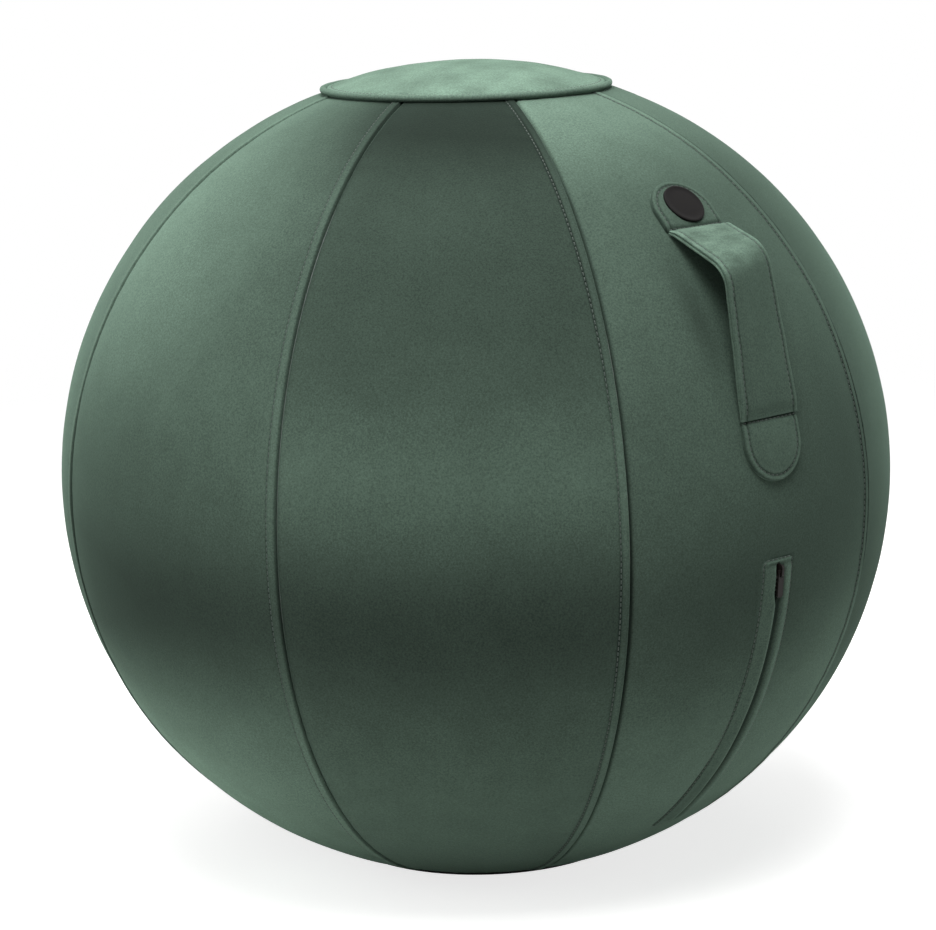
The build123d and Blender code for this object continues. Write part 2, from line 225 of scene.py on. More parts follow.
@dataclass(frozen=True)
class Stitch:
    """One visible stitch of sewing thread: a short lozenge whose two ends dive into the cloth."""

    pitch: float = 4.2
    length: float = 3.3
    width: float = 0.85
    dive: float = 0.35
    sides: int = 6

    def row(self, line: Array, outward: Array) -> tuple[Array, Array, Array]:
        """Spaces stitches along a line.

        The places are read off the line at equal steps of its length; the heading of a stitch is the
        difference between the line a quarter pitch ahead and a quarter pitch behind.

        Args:
            line: points of the line in mm.
            outward: direction away from the cloth at each point.

        Returns:
            Middles, headings and outward directions of the stitches.
        """
        run = lengths(np.linalg.norm(np.diff(line, axis=0), axis=1))
        count = max(2, int(run[-1] / self.pitch))
        at = (np.arange(count) + 0.5) * run[-1] / count

        def read(values: Array, where: Array) -> Array:
            """Values along the line at distances `where`, by linear interpolation."""
            return np.stack([np.interp(where, run, values[:, axis]) for axis in range(3)], axis=-1)

        heading = read(line, at + self.pitch / 4) - read(line, at - self.pitch / 4)
        return read(line, at), unit(heading), unit(read(outward, at))

    def build(self, name: str, rows: list[tuple[Array, Array, Array]]) -> Object:
        """Makes one mesh of all the stitches in some rows.

        Each stitch is four rings of `sides` points: radius 0.4, 1, 1, 0.4 of half the width at -1/2, -1/3,
        1/3, 1/2 of the length, with the end rings `dive` lower.

        Args:
            name: name of the piece.
            rows: middles, headings and outward directions, as row() gives them.

        Returns:
            The new object.
        """
        middle, heading, outward = (np.concatenate([row[k] for row in rows]) for k in range(3))
        across = np.cross(outward, heading)
        turn = np.arange(self.sides) * 2 * pi / self.sides
        along = np.array([-1 / 2, -1 / 3, 1 / 3, 1 / 2]) * self.length
        swell = np.array([0.4, 1.0, 1.0, 0.4]) * self.width / 2
        sunk = np.array([-self.dive, 0.0, 0.0, -self.dive])
        x = np.repeat(along, self.sides)
        y = np.outer(swell, np.cos(turn)).ravel()
        z = (np.outer(swell, np.sin(turn)) + sunk[:, None]).ravel()
        points = middle[:, None] + x[:, None] * heading[:, None] + y[:, None] * across[:, None]
        points = points + z[:, None] * outward[:, None]
        start = np.arange(len(middle))[:, None, None] * len(x)
        skin = grid_faces(len(along), self.sides, wrap_columns=True)[None] + start
        ends = np.stack([np.arange(self.sides)[::-1], np.arange(self.sides) + 3 * self.sides])[None] + start
        return mesh_object(name, points.reshape(-1, 3), [skin.reshape(-1, 4), ends.reshape(-1, self.sides)])


@dataclass(frozen=True)
class Skin:
    """Outside of the sewn cover, a body of revolution about the upright axis through the origin.

    The angle on the cover is the angle at which its skin faces, 0 at the equator and 90 at the crown. The
    azimuth is 0 at the front, where the handle and the zip are, and grows to the right seen from outside.
    """

    ball_radius: float = 325.0
    flattening: float = 10.0
    equator_height: float = 303.0
    foot_blend: float = 150.0
    skin_foot: float = 2.3

    @property
    def crown_rise(self) -> float:
        """Radius of the meridian's main arc."""
        return self.ball_radius - self.flattening

    @property
    def foot_spread(self) -> float:
        """How far the middle of the foot's arc lies outside the middle of the main arc."""
        drop = self.equator_height - self.skin_foot - self.foot_blend
        return sqrt((self.crown_rise - self.foot_blend) ** 2 - drop**2)

    @property
    def foot_angle(self) -> float:
        """Angle at which the main arc meets the foot's arc."""
        drop = self.equator_height - self.skin_foot - self.foot_blend
        return -degrees(atan2(drop, self.foot_spread))

    def meridian(self, angle: Array, proud: Array) -> tuple[Array, Array]:
        """Distance from the axis and height of points `proud` outside the skin.

        The main arc has radius crown_rise about (flattening, equator_height); below foot_angle the skin is
        an arc of radius foot_blend that meets it smoothly and ends level with the floor.

        Args:
            angle: angles on the cover in degrees.
            proud: distances outside the skin in mm.

        Returns:
            Distances from the axis and heights, in mm.
        """
        foot = np.asarray(angle) < self.foot_angle
        middle = np.where(foot, self.flattening + self.foot_spread, self.flattening)
        height = np.where(foot, self.skin_foot + self.foot_blend, self.equator_height)
        radius = np.where(foot, self.foot_blend, self.crown_rise) + proud
        turn = np.radians(angle)
        return middle + radius * np.cos(turn), height + radius * np.sin(turn)

    def point(self, angle: Array, azimuth: Array, proud: Array) -> Array:
        """Points in space (last axis 3) at an angle and azimuth in degrees, `proud` mm outside the skin.

        Args:
            angle: angles on the cover in degrees.
            azimuth: azimuths in degrees.
            proud: distances outside the skin in mm.

        Returns:
            Places in mm, with x, y and z on the last axis.
        """
        out, up = self.meridian(angle, proud)
        turn = np.radians(azimuth)
        return np.stack(np.broadcast_arrays(out * np.sin(turn), -out * np.cos(turn), up), axis=-1)

    def outward(self, angle: Array, azimuth: Array) -> Array:
        """Direction in which the skin faces, as points of length 1.

        Args:
            angle: angles on the cover in degrees.
            azimuth: azimuths in degrees.

        Returns:
            Vectors of length 1, with x, y and z on the last axis.
        """
        tilt, turn = np.radians(angle), np.radians(azimuth)
        parts = (np.cos(tilt) * np.sin(turn), -np.cos(tilt) * np.cos(turn), np.sin(tilt))
        return np.stack(np.broadcast_arrays(*parts), axis=-1)

    def on_front(self, angle: Array, sideways: Array, proud: Array) -> Array:
        """Points `sideways` mm to the right of the front meridian, laid round on the skin."""
        out, _ = self.meridian(angle, 0.0)
        return self.point(angle, np.degrees(sideways / out), proud)

    def arc_angle(self, length: Array) -> Array:
        """Angle in degrees that a length takes up on the meridian's main arc."""
        return np.degrees(length / self.crown_rise)

    def angle_at_radius(self, radius: Array) -> Array:
        """Angle above the equator at which the skin is `radius` from the axis."""
        reach = np.asarray(radius) - self.flattening
        return np.degrees(np.arctan2(np.sqrt(self.crown_rise**2 - reach**2), reach))

    def foot_angle_at_radius(self, radius: float) -> float:
        """Angle below the equator at which the rounded foot is `radius` from the axis."""
        reach = radius - self.flattening - self.foot_spread
        return -degrees(atan2(sqrt(self.foot_blend**2 - reach**2), reach))

    def run(self, low: float, high: float, step: float) -> tuple[Array, Array]:
        """Angles from low to high about `step` mm apart, and the length of skin up to each.

        Args:
            low: first angle in degrees.
            high: last angle in degrees.
            step: spacing in mm.

        Returns:
            Angles in degrees and lengths in mm.
        """
        angles = np.linspace(low, high, 4000)
        radius = np.where(angles < self.foot_angle, self.foot_blend, self.crown_rise)
        length = lengths(np.radians(np.diff(angles)) * radius[1:])
        even = np.linspace(0.0, length[-1], int(length[-1] / step) + 2)
        return np.interp(even, length, angles), even


def linear(colour: str) -> tuple[float, float, float, float]:
    """Turns an sRGB hex colour such as '#4a5b50' into linear red, green, blue and alpha.

    Args:
        colour: the colour, with its hash sign.

    Returns:
        Four numbers from 0 to 1.
    """
    channels = [int(colour[k : k + 2], 16) / 255 for k in (1, 3, 5)]
    red, green, blue = (c / 12.92 if c <= 0.04045 else ((c + 0.055) / 1.055) ** 2.4 for c in channels)
    return red, green, blue, 1.0


def add_node(
    tree: bpy.types.NodeTree, kind: str, settings: dict | None = None, links: dict | None = None
) -> bpy.types.Node:
    """Adds one shader node with its settings and links.

    Args:
        tree: node tree that gets the node.
        kind: Blender's name for the node type, without its first word ShaderNode.
        settings: values by property name, or by input name or number.
        links: output sockets by the input name or number that they feed.

    Returns:
        The new node.
    """
    node = tree.nodes.new("ShaderNode" + kind)
    for key, value in (settings or {}).items():
        if isinstance(key, int) or key in node.inputs:
            node.inputs[key].default_value = value
        else:
            setattr(node, key, value)
    for key, socket in (links or {}).items():
        tree.links.new(socket, node.inputs[key])
    return node


def new_tree(name: str) -> tuple[Material, bpy.types.NodeTree]:
    """New material of that name, and its emptied node tree.

    Args:
        name: name of the real material.

    Returns:
        The material and its node tree.
    """
    material = bpy.data.materials.new(name)
    material.use_nodes = True
    material.node_tree.nodes.clear()
    return material, material.node_tree


@dataclass(frozen=True)
class Velvet:
    """Cut-pile polyester velvet, dyed in the piece and brushed.

    The eye sees a dark ground where it looks down into the pile, a pale bloom where the pile lies over or is
    seen from the side, jumps of tone at the seams because each panel's pile lies its own way, and soft
    strokes. A point attribute of each piece says how much paler the pile is painted there: partly the pile's
    own tone, partly painted light and painted shade, such as painted shadows, painted shade in grooves and
    painted highlights on ridges and on faces that the lamps light.
    """

    name: str = "polyester_velvet"
    ground: str = "#4b5c51"
    bloom: str = "#b6dcc5"
    sheen: float = 0.31
    sheen_roughness: float = 0.5
    patch_mm: float = 90.0
    stroke_mm: float = 24.0
    tuft_mm: float = 1.4
    stroke: float = 0.06
    grain: float = 0.34

    def build(self) -> Material:
        """Multiplies the ground colour by 1 plus the painted paleness, and by noise for patches, strokes and
        tufts.

        Returns:
            The material.
        """
        material, tree = new_tree(self.name)
        place = add_node(tree, "TexCoord").outputs["Object"]
        # Painted paleness per point: the pile's own tone with painted light and painted shade.
        tone_and_light = add_node(tree, "Attribute", {"attribute_name": "tone_and_light"}).outputs["Fac"]
        # Real tufts are a third of a millimetre; drawn coarser so that the grain shows from this far.
        scales = (
            (self.patch_mm, 2.0, 0.5, self.stroke),
            (self.stroke_mm, 3.0, 0.55, self.stroke),
            (self.tuft_mm, 3.0, 0.75, self.grain),
        )
        paler = add_node(tree, "Math", {"operation": "ADD", 1: 1.0}, {0: tone_and_light})
        tone = add_node(tree, "Math", {"operation": "MAXIMUM", 1: 0.18}, {0: paler.outputs[0]})
        for size, detail, rough, swing in scales:
            noise = add_node(
                tree,
                "TexNoise",
                {"Scale": 1 / (size * MM), "Detail": detail, "Roughness": rough},
                {"Vector": place},
            )
            spread = {"From Min": 0.3, "From Max": 0.7, "To Min": 1 - swing, "To Max": 1 + swing}
            spread["clamp"] = False
            share = add_node(tree, "MapRange", spread, {"Value": noise.outputs["Fac"]})
            both = {0: tone.outputs[0], 1: share.outputs[0]}
            tone = add_node(tree, "Math", {"operation": "MULTIPLY"}, both)
        colour = add_node(
            tree,
            "VectorMath",
            {"operation": "SCALE", 0: linear(self.ground)[:3]},
            {"Scale": tone.outputs[0]},
        )
        raised = {"Strength": 0.35, "Distance": 0.4 * MM}
        pile = add_node(tree, "Bump", raised, {"Height": noise.outputs["Fac"]})
        shader = add_node(
            tree,
            "BsdfPrincipled",
            {
                "Roughness": 0.95,
                "Specular IOR Level": 0.1,
                "Sheen Weight": self.sheen,
                "Sheen Roughness": self.sheen_roughness,
                "Sheen Tint": linear(self.bloom),
            },
            {"Base Color": colour.outputs[0], "Normal": pile.outputs["Normal"]},
        )
        add_node(tree, "OutputMaterial", {}, {"Surface": shader.outputs["BSDF"]})
        return material


def paint_tone_and_light(piece: Object, tone_and_light: Array) -> None:
    """Stores how much paler than its ground the pile is painted at each point: own tone with painted light
    and shade.

    Args:
        piece: piece made of rings or rows of points.
        tone_and_light: share by which each of those points is paler, or darker where it is negative; the two
            points that close a piece's ends get the means of the end rings, and copies of the end rings get
            their values.
    """
    values = np.concatenate([tone_and_light.ravel(), [tone_and_light[0].mean(), tone_and_light[-1].mean()], tone_and_light[0], tone_and_light[-1]])
    values = values[: len(piece.data.vertices)]
    piece.data.attributes.new("tone_and_light", "FLOAT", "POINT").data.foreach_set("value", values.astype(np.float32))


@dataclass(frozen=True)
class GoreToneAndLight:
    """Tone of one gore's pile with painted light and shade, as shares by which it is paler at marked places
    up the gore.
    """

    whole: float
    shoulder: float
    crown: float
    belt: float
    waist: float
    slant: float
    low_slant: float
    foot: float
    foot_slant: float = 0.0
    right_edge: float = 0.0

    def tone_and_light(self, angle: Array, across: Array) -> Array:
        """Painted paleness over the gore: its pile tone with painted light and shade.

        The sum of a constant, ramps to the shoulder, crown and foot, bells at the belt and waist, and slants
        from the left seam to the right one: above the equator, below it and at the foot. The right half
        also has a pair of opposite bells, above the equator and below it, that grow towards the right seam.
        The constant is the panel's own pile tone; the shoulder and crown ramps are partly pile tone and
        partly painted light; the belt bell is painted shade below the equator; the foot ramp is painted light
        from the floor; the waist bell, the slants and the right-edge bells are painted light and shade.

        Args:
            angle: angles on the cover in degrees.
            across: place across the gore, -1 at its left seam and 1 at its right one.

        Returns:
            Shares by which the pile is paler.
        """
        high = smoothstep(5, 40, angle)
        tone = self.whole + self.shoulder * high + self.crown * smoothstep(45, 70, angle)
        tone = tone + self.belt * bell(angle, -9, 12) + self.waist * bell(angle, 10, 9)
        low = 1 - smoothstep(-42, -14, angle)
        slant = self.slant * high + self.low_slant * (1 - high) + self.foot_slant * low
        edge = self.right_edge * np.maximum(across, 0) * (bell(angle, 9, 12) - 1.5 * bell(angle, -19, 12))
        return tone + self.foot * low + across * slant + edge


class Surface(Enum):
    """How a plain material's surface was made, which sets the pattern of its bump."""

    MOULDED = "moulded"
    WOVEN = "woven"
    CAST = "cast"


@dataclass(frozen=True)
class Finish:
    """Material of one body colour, with slight mottling and a bump that fits how its surface was made."""

    name: str
    dark: str
    light: str
    surface: Surface
    grain_mm: float
    bump_mm: float
    roughness: float
    metallic: float = 0.0
    specular: float = 0.5
    sheen: float = 0.0
    coat: float = 0.0

    def height(self, tree: bpy.types.NodeTree, place: bpy.types.NodeSocket) -> bpy.types.NodeSocket:
        """Height pattern of the surface: crossed waves for a weave, and noise for a mould or a casting.

        Args:
            tree: node tree of the material.
            place: socket that gives places on the piece.

        Returns:
            Socket that gives the height.
        """
        scale = 1 / (self.grain_mm * MM)
        if self.surface is not Surface.WOVEN:
            detail = 4.0 if self.surface is Surface.CAST else 2.0
            noise = add_node(tree, "TexNoise", {"Scale": scale, "Detail": detail}, {"Vector": place})
            return noise.outputs["Fac"]
        threads = [
            add_node(
                tree,
                "TexWave",
                {"bands_direction": axis, "Scale": scale / 3, "Distortion": 0.4},
                {"Vector": place},
            )
            for axis in ("X", "Z")
        ]
        both = {0: threads[0].outputs["Fac"], 1: threads[1].outputs["Fac"]}
        return add_node(tree, "Math", {"operation": "MAXIMUM"}, both).outputs[0]

    def build(self) -> Material:
        """Mixes the dark and the light colour by noise ten grains wide, and adds the bump.

        Returns:
            The material.
        """
        material, tree = new_tree(self.name)
        place = add_node(tree, "TexCoord").outputs["Object"]
        cloud_scale = 1 / (10 * self.grain_mm * MM)
        cloud = add_node(tree, "TexNoise", {"Scale": cloud_scale, "Detail": 4.0}, {"Vector": place})
        colour = add_node(
            tree,
            "Mix",
            {"data_type": "RGBA", 6: linear(self.dark), 7: linear(self.light)},
            {0: cloud.outputs["Fac"]},
        )
        bump = add_node(
            tree,
            "Bump",
            {"Strength": 0.6, "Distance": self.bump_mm * MM},
            {"Height": self.height(tree, place)},
        )
        shader = add_node(
            tree,
            "BsdfPrincipled",
            {
                "Roughness": self.roughness,
                "Metallic": self.metallic,
                "Specular IOR Level": self.specular,
                "Sheen Weight": self.sheen,
                "Coat Weight": self.coat,
            },
            {"Base Color": colour.outputs[2], "Normal": bump.outputs["Normal"]},
        )
        add_node(tree, "OutputMaterial", {}, {"Surface": shader.outputs["BSDF"]})
        return material


class Finishes:
    """Every material of the ball, built once."""

    def __init__(self) -> None:
        """Builds the materials; each comment says what the eye gets from the real one."""
        self.velvet = Velvet().build()
        # Spun polyester sewing thread: a tight, slightly shiny line in the velvet's own colour.
        self.thread = Finish(
            "polyester_thread", "#2e3a33", "#43524a", Surface.WOVEN, 0.6, 0.05, 0.6, sheen=0.2
        ).build()
        # Black cloth with a non-slip rubber coat: flat and dull, with a fine pebble.
        self.base = Finish(
            "rubber_coated_cloth", "#1b1d1c", "#2a2d2b", Surface.MOULDED, 2.2, 0.35, 0.8, specular=0.3
        ).build()
        # Soft moulded rubber: near black and brownish, with a broad soft highlight.
        self.badge = Finish(
            "moulded_rubber", "#0b0909", "#100e0d", Surface.MOULDED, 1.0, 0.04, 0.6, specular=0.12
        ).build()
        # Plasticised vinyl film: grey, smooth and a little glossy.
        self.vinyl = Finish(
            "vinyl_film", "#6f7573", "#7d8381", Surface.MOULDED, 6.0, 0.1, 0.35, coat=0.15
        ).build()
        # Woven polyester tape: black, flat, with fine ribs.
        self.tape = Finish(
            "woven_polyester_tape", "#141615", "#202422", Surface.WOVEN, 1.1, 0.12, 0.85, specular=0.2
        ).build()
        # Injection-moulded acetal teeth: black with a dull gloss.
        self.teeth = Finish(
            "acetal_teeth", "#171817", "#232524", Surface.MOULDED, 1.5, 0.03, 0.4
        ).build()
        # Die-cast zinc with black paint: soft gloss, a slight orange peel.
        self.metal = Finish(
            "black_painted_zinc", "#0d0908", "#150f0e", Surface.CAST, 1.2, 0.03, 0.45, specular=0.25
        ).build()
        # Moulded polythene: milky and waxy.
        self.valve = Finish(
            "moulded_polythene", "#d4d6d2", "#e2e4e0", Surface.MOULDED, 2.0, 0.03, 0.4
        ).build()


def dress(piece: Object, finish: Material, slot: str, *nodes: str, body: str = ROOT) -> Object:
    """Gives a piece its finish, hides the solids it stands for and hangs it on the body it rides on.

    Args:
        piece: new piece.
        finish: its material.
        slot: not used.
        nodes: solids that the piece stands for.
        body: body it moves with.

    Returns:
        The piece.
    """
    piece.data.materials.append(finish)
    if nodes:
        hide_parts(*nodes)
    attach(piece, body)
    log.info("%s: %d faces, rides on %s", piece.name, len(piece.data.polygons), body)
    return piece


def thicken(piece: Object, thickness: float) -> None:
    """Gives a sheet its thickness in mm, inwards from the shaped side.

    Args:
        piece: the sheet.
        thickness: its thickness in mm.
    """
    wall = piece.modifiers.new("thickness", "SOLIDIFY")
    wall.thickness = thickness * MM
    wall.offset = -1.0


@dataclass(frozen=True)
class Cover:
    """Eight gores, each with its seam allowance turned under as a raised, topstitched band on the right."""

    skin: Skin
    finishes: Finishes
    names: tuple[str, ...] = tuple(
        "front front_right right back_right back back_left left front_left".split()
    )
    low_radius: float = 100.0
    high_radius: float = 95.0
    row_step: float = 3.0
    band_width: float = 8.0
    band_rise: float = 0.9
    stitch_inset: float = 7.3
    seam_depth: float = 2.6
    fringe: float = 22.0
    wall: float = 2.0
    window_half: float = 9.0
    window_low: float = -51.5
    window_high: float = -4.2
    base_edge: float = 114.0
    cap_edge: float = 108.0
    # Each gore's pile tone, with painted shade in the belt, painted light from the floor at the foot and
    # painted light towards the limbs.
    gore_tone_and_light: tuple[GoreToneAndLight, ...] = (
        GoreToneAndLight(-0.16, 0.12, 1.10, -0.38, 0.04, -0.16, -0.20, 0.52, 0.25, -0.5),
        GoreToneAndLight(-0.46, 0.20, 0.80, -0.10, 0.0, 0.10, 0.0, 0.80),
        GoreToneAndLight(0.0, 0.35, 0.20, -0.30, 0.0, 0.10, 0.10, 0.0),
        GoreToneAndLight(-0.05, -0.15, -0.35, -0.30, 0.20, 0.0, 0.0, -0.20),
        GoreToneAndLight(0.0, 0.30, 0.30, -0.35, 0.0, 0.15, -0.10, 0.0),
        GoreToneAndLight(-0.05, 0.35, 0.20, -0.35, 0.0, 0.20, 0.0, 0.30),
        GoreToneAndLight(0.0, 0.58, -0.65, -0.78, -0.10, -0.74, 0.30, 1.2, -1.0),
        GoreToneAndLight(-0.06, -0.34, -0.55, -0.48, 0.33, -0.04, 0.02, 0.06, -0.10),
    )

    def angles(self) -> tuple[Array, Array]:
        """Row angles from the base to the cap, and the length of skin up to each."""
        low = self.skin.foot_angle_at_radius(self.low_radius)
        return self.skin.run(low, float(self.skin.angle_at_radius(self.high_radius)), self.row_step)

    def spread(self, width: Array) -> Array:
        """Places of the columns, in mm from the left seam.

        The columns crowd at both seams: squared spacing over the fringe on the left, even half millimetres
        over the band on the right and squared spacing beyond it, and even shares of what is left between.

        Args:
            width: width of the gore at each row.

        Returns:
            Places, one row for each width.
        """
        left = self.fringe * np.linspace(0, 1, 14) ** 2
        band_end = self.band_width + 2
        beyond = band_end + (self.fringe - band_end) * np.linspace(0, 1, 7)[1:] ** 2
        right = np.concatenate([np.linspace(0, band_end, 24), beyond])
        share = np.linspace(0, 1, 30)[1:-1]
        width = width[:, None]
        middle = self.fringe + share * (width - 2 * self.fringe)
        return np.concatenate([left + 0 * width, middle, width - right[::-1]], axis=1)

    def height(self, index: int, left: Array, right: Array, length: Array) -> Array:
        """How proud the cloth stands, in mm.

        The sum of a sunk seam line at both edges, the raised band with a dip where it is stitched, puckers
        that fade away from the seams, and broad unevenness of the filled cover.

        Args:
            index: which gore, which seeds its unevenness.
            left: distance from the left seam.
            right: distance from the right seam.
            length: length of skin up to the row.

        Returns:
            Heights outside the skin.
        """
        seam = -self.seam_depth * (bell(left, 0, 1.0) + bell(right, 0, 0.55))
        band = smoothstep(0, 1.5, right) - smoothstep(self.stitch_inset - 1.0, self.band_width + 1.0, right)
        dip = -0.5 * bell(right, self.stitch_inset, 0.8)
        drawn = -0.35 * (bell(left, 0, 16) + bell(right, self.band_width, 14))
        pucker = ripple(length, 0.4 * left, 15, 40 + index) * bell(left, 2, 9)
        pucker = pucker + ripple(length, 0.4 * right, 13, 60 + index) * bell(right, self.band_width + 2, 8)
        tuck = ripple(length, right, 9, 80 + index) * bell(right, self.band_width / 2, 3)
        broad = 0.45 * ripple(length, left, 150, 20 + index) + 0.12 * ripple(length, left, 48, index)
        return seam + self.band_rise * band + dip + drawn + 0.24 * pucker + 0.13 * tuck + broad

    def painted_strap_shadow(self, angle: Array, sideways: Array) -> Array:
        """Painted shadow of the handle strap on the cover, on both sides of the handle: one bell for each."""
        left = 0.4 * bell(sideways, -37, 11) * bell(angle, 29, 7)
        return left + 0.35 * bell(sideways, 33, 5) * bell(angle, 29, 6)

    def build_gore(self, index: int) -> Object:
        """One gore: a grid of rows up the meridian and columns from its left to its right seam.

        Args:
            index: which gore, counted to the right from the front.

        Returns:
            The gore's object.
        """
        angles, length = self.angles()
        out, _ = self.skin.meridian(angles, 0.0)
        turn = 360 / len(self.names)
        width = out * radians(turn)
        left = self.spread(width)
        right = width[:, None] - left
        start = (index - 0.5) * turn
        azimuth = start + np.degrees(left / out[:, None])
        proud = self.height(index, left, right, length[:, None])
        points = self.skin.point(angles[:, None], azimuth, proud)
        name = "velvet_gore_" + self.names[index]
        faces = grid_faces(*left.shape)
        tone_and_light = self.gore_tone_and_light[index].tone_and_light(angles[:, None], 2 * left / width[:, None] - 1)
        if index == 0:
            sideways = left - width[:, None] / 2
            # Painted shadow of the handle strap on the cover beside it.
            tone_and_light = tone_and_light - self.painted_strap_shadow(angles[:, None], sideways)
            aside = np.abs(sideways.ravel()[faces].mean(axis=1))
            level = np.repeat(angles, left.shape[1])[faces].mean(axis=1)
            inside = (aside < self.window_half) & (level > self.window_low)
            faces = faces[~(inside & (level < self.window_high))]
        piece = mesh_object(name, points.reshape(-1, 3), [faces])
        # Painted shade along the seam grooves and in the stitch line, and a painted highlight on the raised
        # band.
        seam = 0.2 * bell(right, self.band_width / 2, 3) - 0.5 * bell(right, self.stitch_inset, 1.0)
        paint_tone_and_light(piece, tone_and_light + seam - 0.75 * bell(left, 0, 2.0) - 0.5 * bell(right, 0, 0.8))
        thicken(piece, self.wall)
        dress(piece, self.finishes.velvet, "velvet", "gore_" + self.names[index])
        return piece

    def build_threads(self) -> Object:
        """Topstitching along every band, from under the base panel's edge to under the cap's edge.

        Returns:
            The topstitching's object.
        """
        angles, length = self.angles()
        low = self.skin.foot_angle_at_radius(self.base_edge)
        shown = (angles > low) & (angles < self.skin.angle_at_radius(self.cap_edge))
        angles, length = angles[shown], length[shown]
        out, _ = self.skin.meridian(angles, 0.0)
        turn = 360 / len(self.names)
        width = out * radians(turn)
        right = np.full(len(angles), self.stitch_inset)
        rows = []
        for index in range(len(self.names)):
            azimuth = (index + 0.5) * turn - np.degrees(self.stitch_inset / out)
            proud = self.height(index, width - right, right, length) + 0.1
            line = self.skin.point(angles, azimuth, proud)
            rows.append(Stitch().row(line, self.skin.outward(angles, azimuth)))
        return dress(Stitch().build("seam_topstitching", rows), self.finishes.thread, "velvet")

    def build(self) -> None:
        """Makes the eight gores and their topstitching."""
        for index in range(len(self.names)):
            self.build_gore(index)
        self.build_threads()


@dataclass(frozen=True)
class CrownCap:
    """Round padded velvet cap on the crown, with its piped edge and topstitching."""

    skin: Skin
    finishes: Finishes
    radius: float = 112.0
    piping_diameter: float = 5.2
    layer_gap: float = 0.3
    thickness: float = 3.2
    stitch_inset: float = 4.2
    columns: int = 360

    @property
    def panel_radius(self) -> float:
        """Radius of the panel inside the piping."""
        return self.radius - self.piping_diameter + 0.4

    def height(self, radius: Array, azimuth: Array) -> Array:
        """How proud the panel's top stands, in mm.

        The padded thickness with a rolled edge, a sunk stitch ring, a slow rise to the crown, puckers along
        the stitching, and the dents of a panel that people sit on.

        Args:
            radius: distances from the axis.
            azimuth: azimuths in degrees.

        Returns:
            Heights outside the skin.
        """
        inset = self.panel_radius - radius
        edge = self.thickness * rolled_edge(inset, 2.0)
        ring = -1.1 * bell(inset, self.stitch_inset, 1.1)
        crown = 1.6 * smoothstep(self.stitch_inset, 70, inset)
        round_edge = radians(1) * azimuth * self.panel_radius
        pucker = 0.3 * ripple(round_edge, 0.3 * inset, 14, 7) * bell(inset, self.stitch_inset + 5, 7)
        x, y = radius * np.cos(np.radians(azimuth)), radius * np.sin(np.radians(azimuth))
        dents = smoothstep(6, 30, inset) * (0.55 * ripple(x, y, 62, 3) + 0.3 * ripple(x, y, 27, 5))
        return self.layer_gap + edge + ring + crown + pucker + dents

    def build_panel(self) -> Object:
        """The padded panel: rings from the underside's middle out to the edge and back over the top.

        Returns:
            The panel's object.
        """
        azimuth = np.linspace(0, 360, self.columns, endpoint=False)[None, :]
        under = np.linspace(8, self.panel_radius, 10)
        rolled = np.linspace(0, 1, 10)[1:] ** 2 * 8
        inset = np.concatenate([rolled, np.linspace(8, self.panel_radius - 2, 46)[1:]])
        over = self.panel_radius - inset
        radius = np.concatenate([under, over])[:, None]
        top = self.height(radius, azimuth)
        proud = np.where(np.arange(len(radius))[:, None] < len(under), self.layer_gap, top)
        points = self.skin.point(self.skin.angle_at_radius(radius), azimuth, proud)
        low, high = (self.skin.point(90.0, 0.0, d) for d in (self.layer_gap, float(top[-1].mean())))
        low, high = (np.array([0.0, 0.0, p[2]]) for p in (low, high))
        piece = closed_object("velvet_cap", points, low, high)
        x, y = radius * np.cos(np.radians(azimuth)), radius * np.sin(np.radians(azimuth))
        # The mottle is crushed pile; the 1.5 added to it is painted light that makes the whole cap paler.
        mottle = 0.6 * ripple(x, y, 58, 14) + 0.35 * ripple(x, y, 33, 15) + 0.2 * ripple(x, y, 14, 16)
        paint_tone_and_light(piece, 1.5 + mottle)
        dress(piece, self.finishes.velvet, "velvet", "top_cap", "cap_pad")
        return piece

    def build_piping(self) -> Object:
        """The piped edge: a round section carried round the cap, swelling and shrinking slightly.

        Returns:
            The piping's object.
        """
        azimuth = np.linspace(0, 360, 2 * self.columns, endpoint=False)[None, :]
        turn = np.linspace(0, 2 * pi, 20, endpoint=False)[:, None]
        around = np.radians(azimuth) * self.radius
        half = self.piping_diameter / 2
        swell = half * (1 + 0.05 * ripple(around, 3 * turn, 16, 11))
        middle = float(self.skin.angle_at_radius(self.radius - half))
        angle = middle - self.skin.arc_angle(swell * np.cos(turn))
        proud = self.layer_gap + half + swell * np.sin(turn) + 0.25 * ripple(around, 0 * turn, 60, 12)
        points = self.skin.point(angle, azimuth, proud)
        piece = grid_object("velvet_piping", points, wrap_rows=True, wrap_columns=True)
        # Painted highlight on the outer top of the roll and painted shade on its underside.
        paint_tone_and_light(piece, 0.3 + 0.6 * np.sin(turn) + 0 * azimuth)
        return dress(piece, self.finishes.velvet, "velvet", "cap_piping")

    def build_threads(self) -> Object:
        """Topstitching in the sunk ring just inside the piping.

        Returns:
            The topstitching's object.
        """
        azimuth = np.linspace(0, 360, 721)
        radius = np.full(len(azimuth), self.panel_radius - self.stitch_inset)
        angle = self.skin.angle_at_radius(radius)
        line = self.skin.point(angle, azimuth, self.height(radius, azimuth) + 0.15)
        rows = [Stitch().row(line, self.skin.outward(angle, azimuth))]
        return dress(Stitch().build("cap_topstitching", rows), self.finishes.thread, "velvet")

    def build(self) -> None:
        """Makes the panel, the piping and the topstitching."""
        self.build_panel()
        self.build_piping()
        self.build_threads()


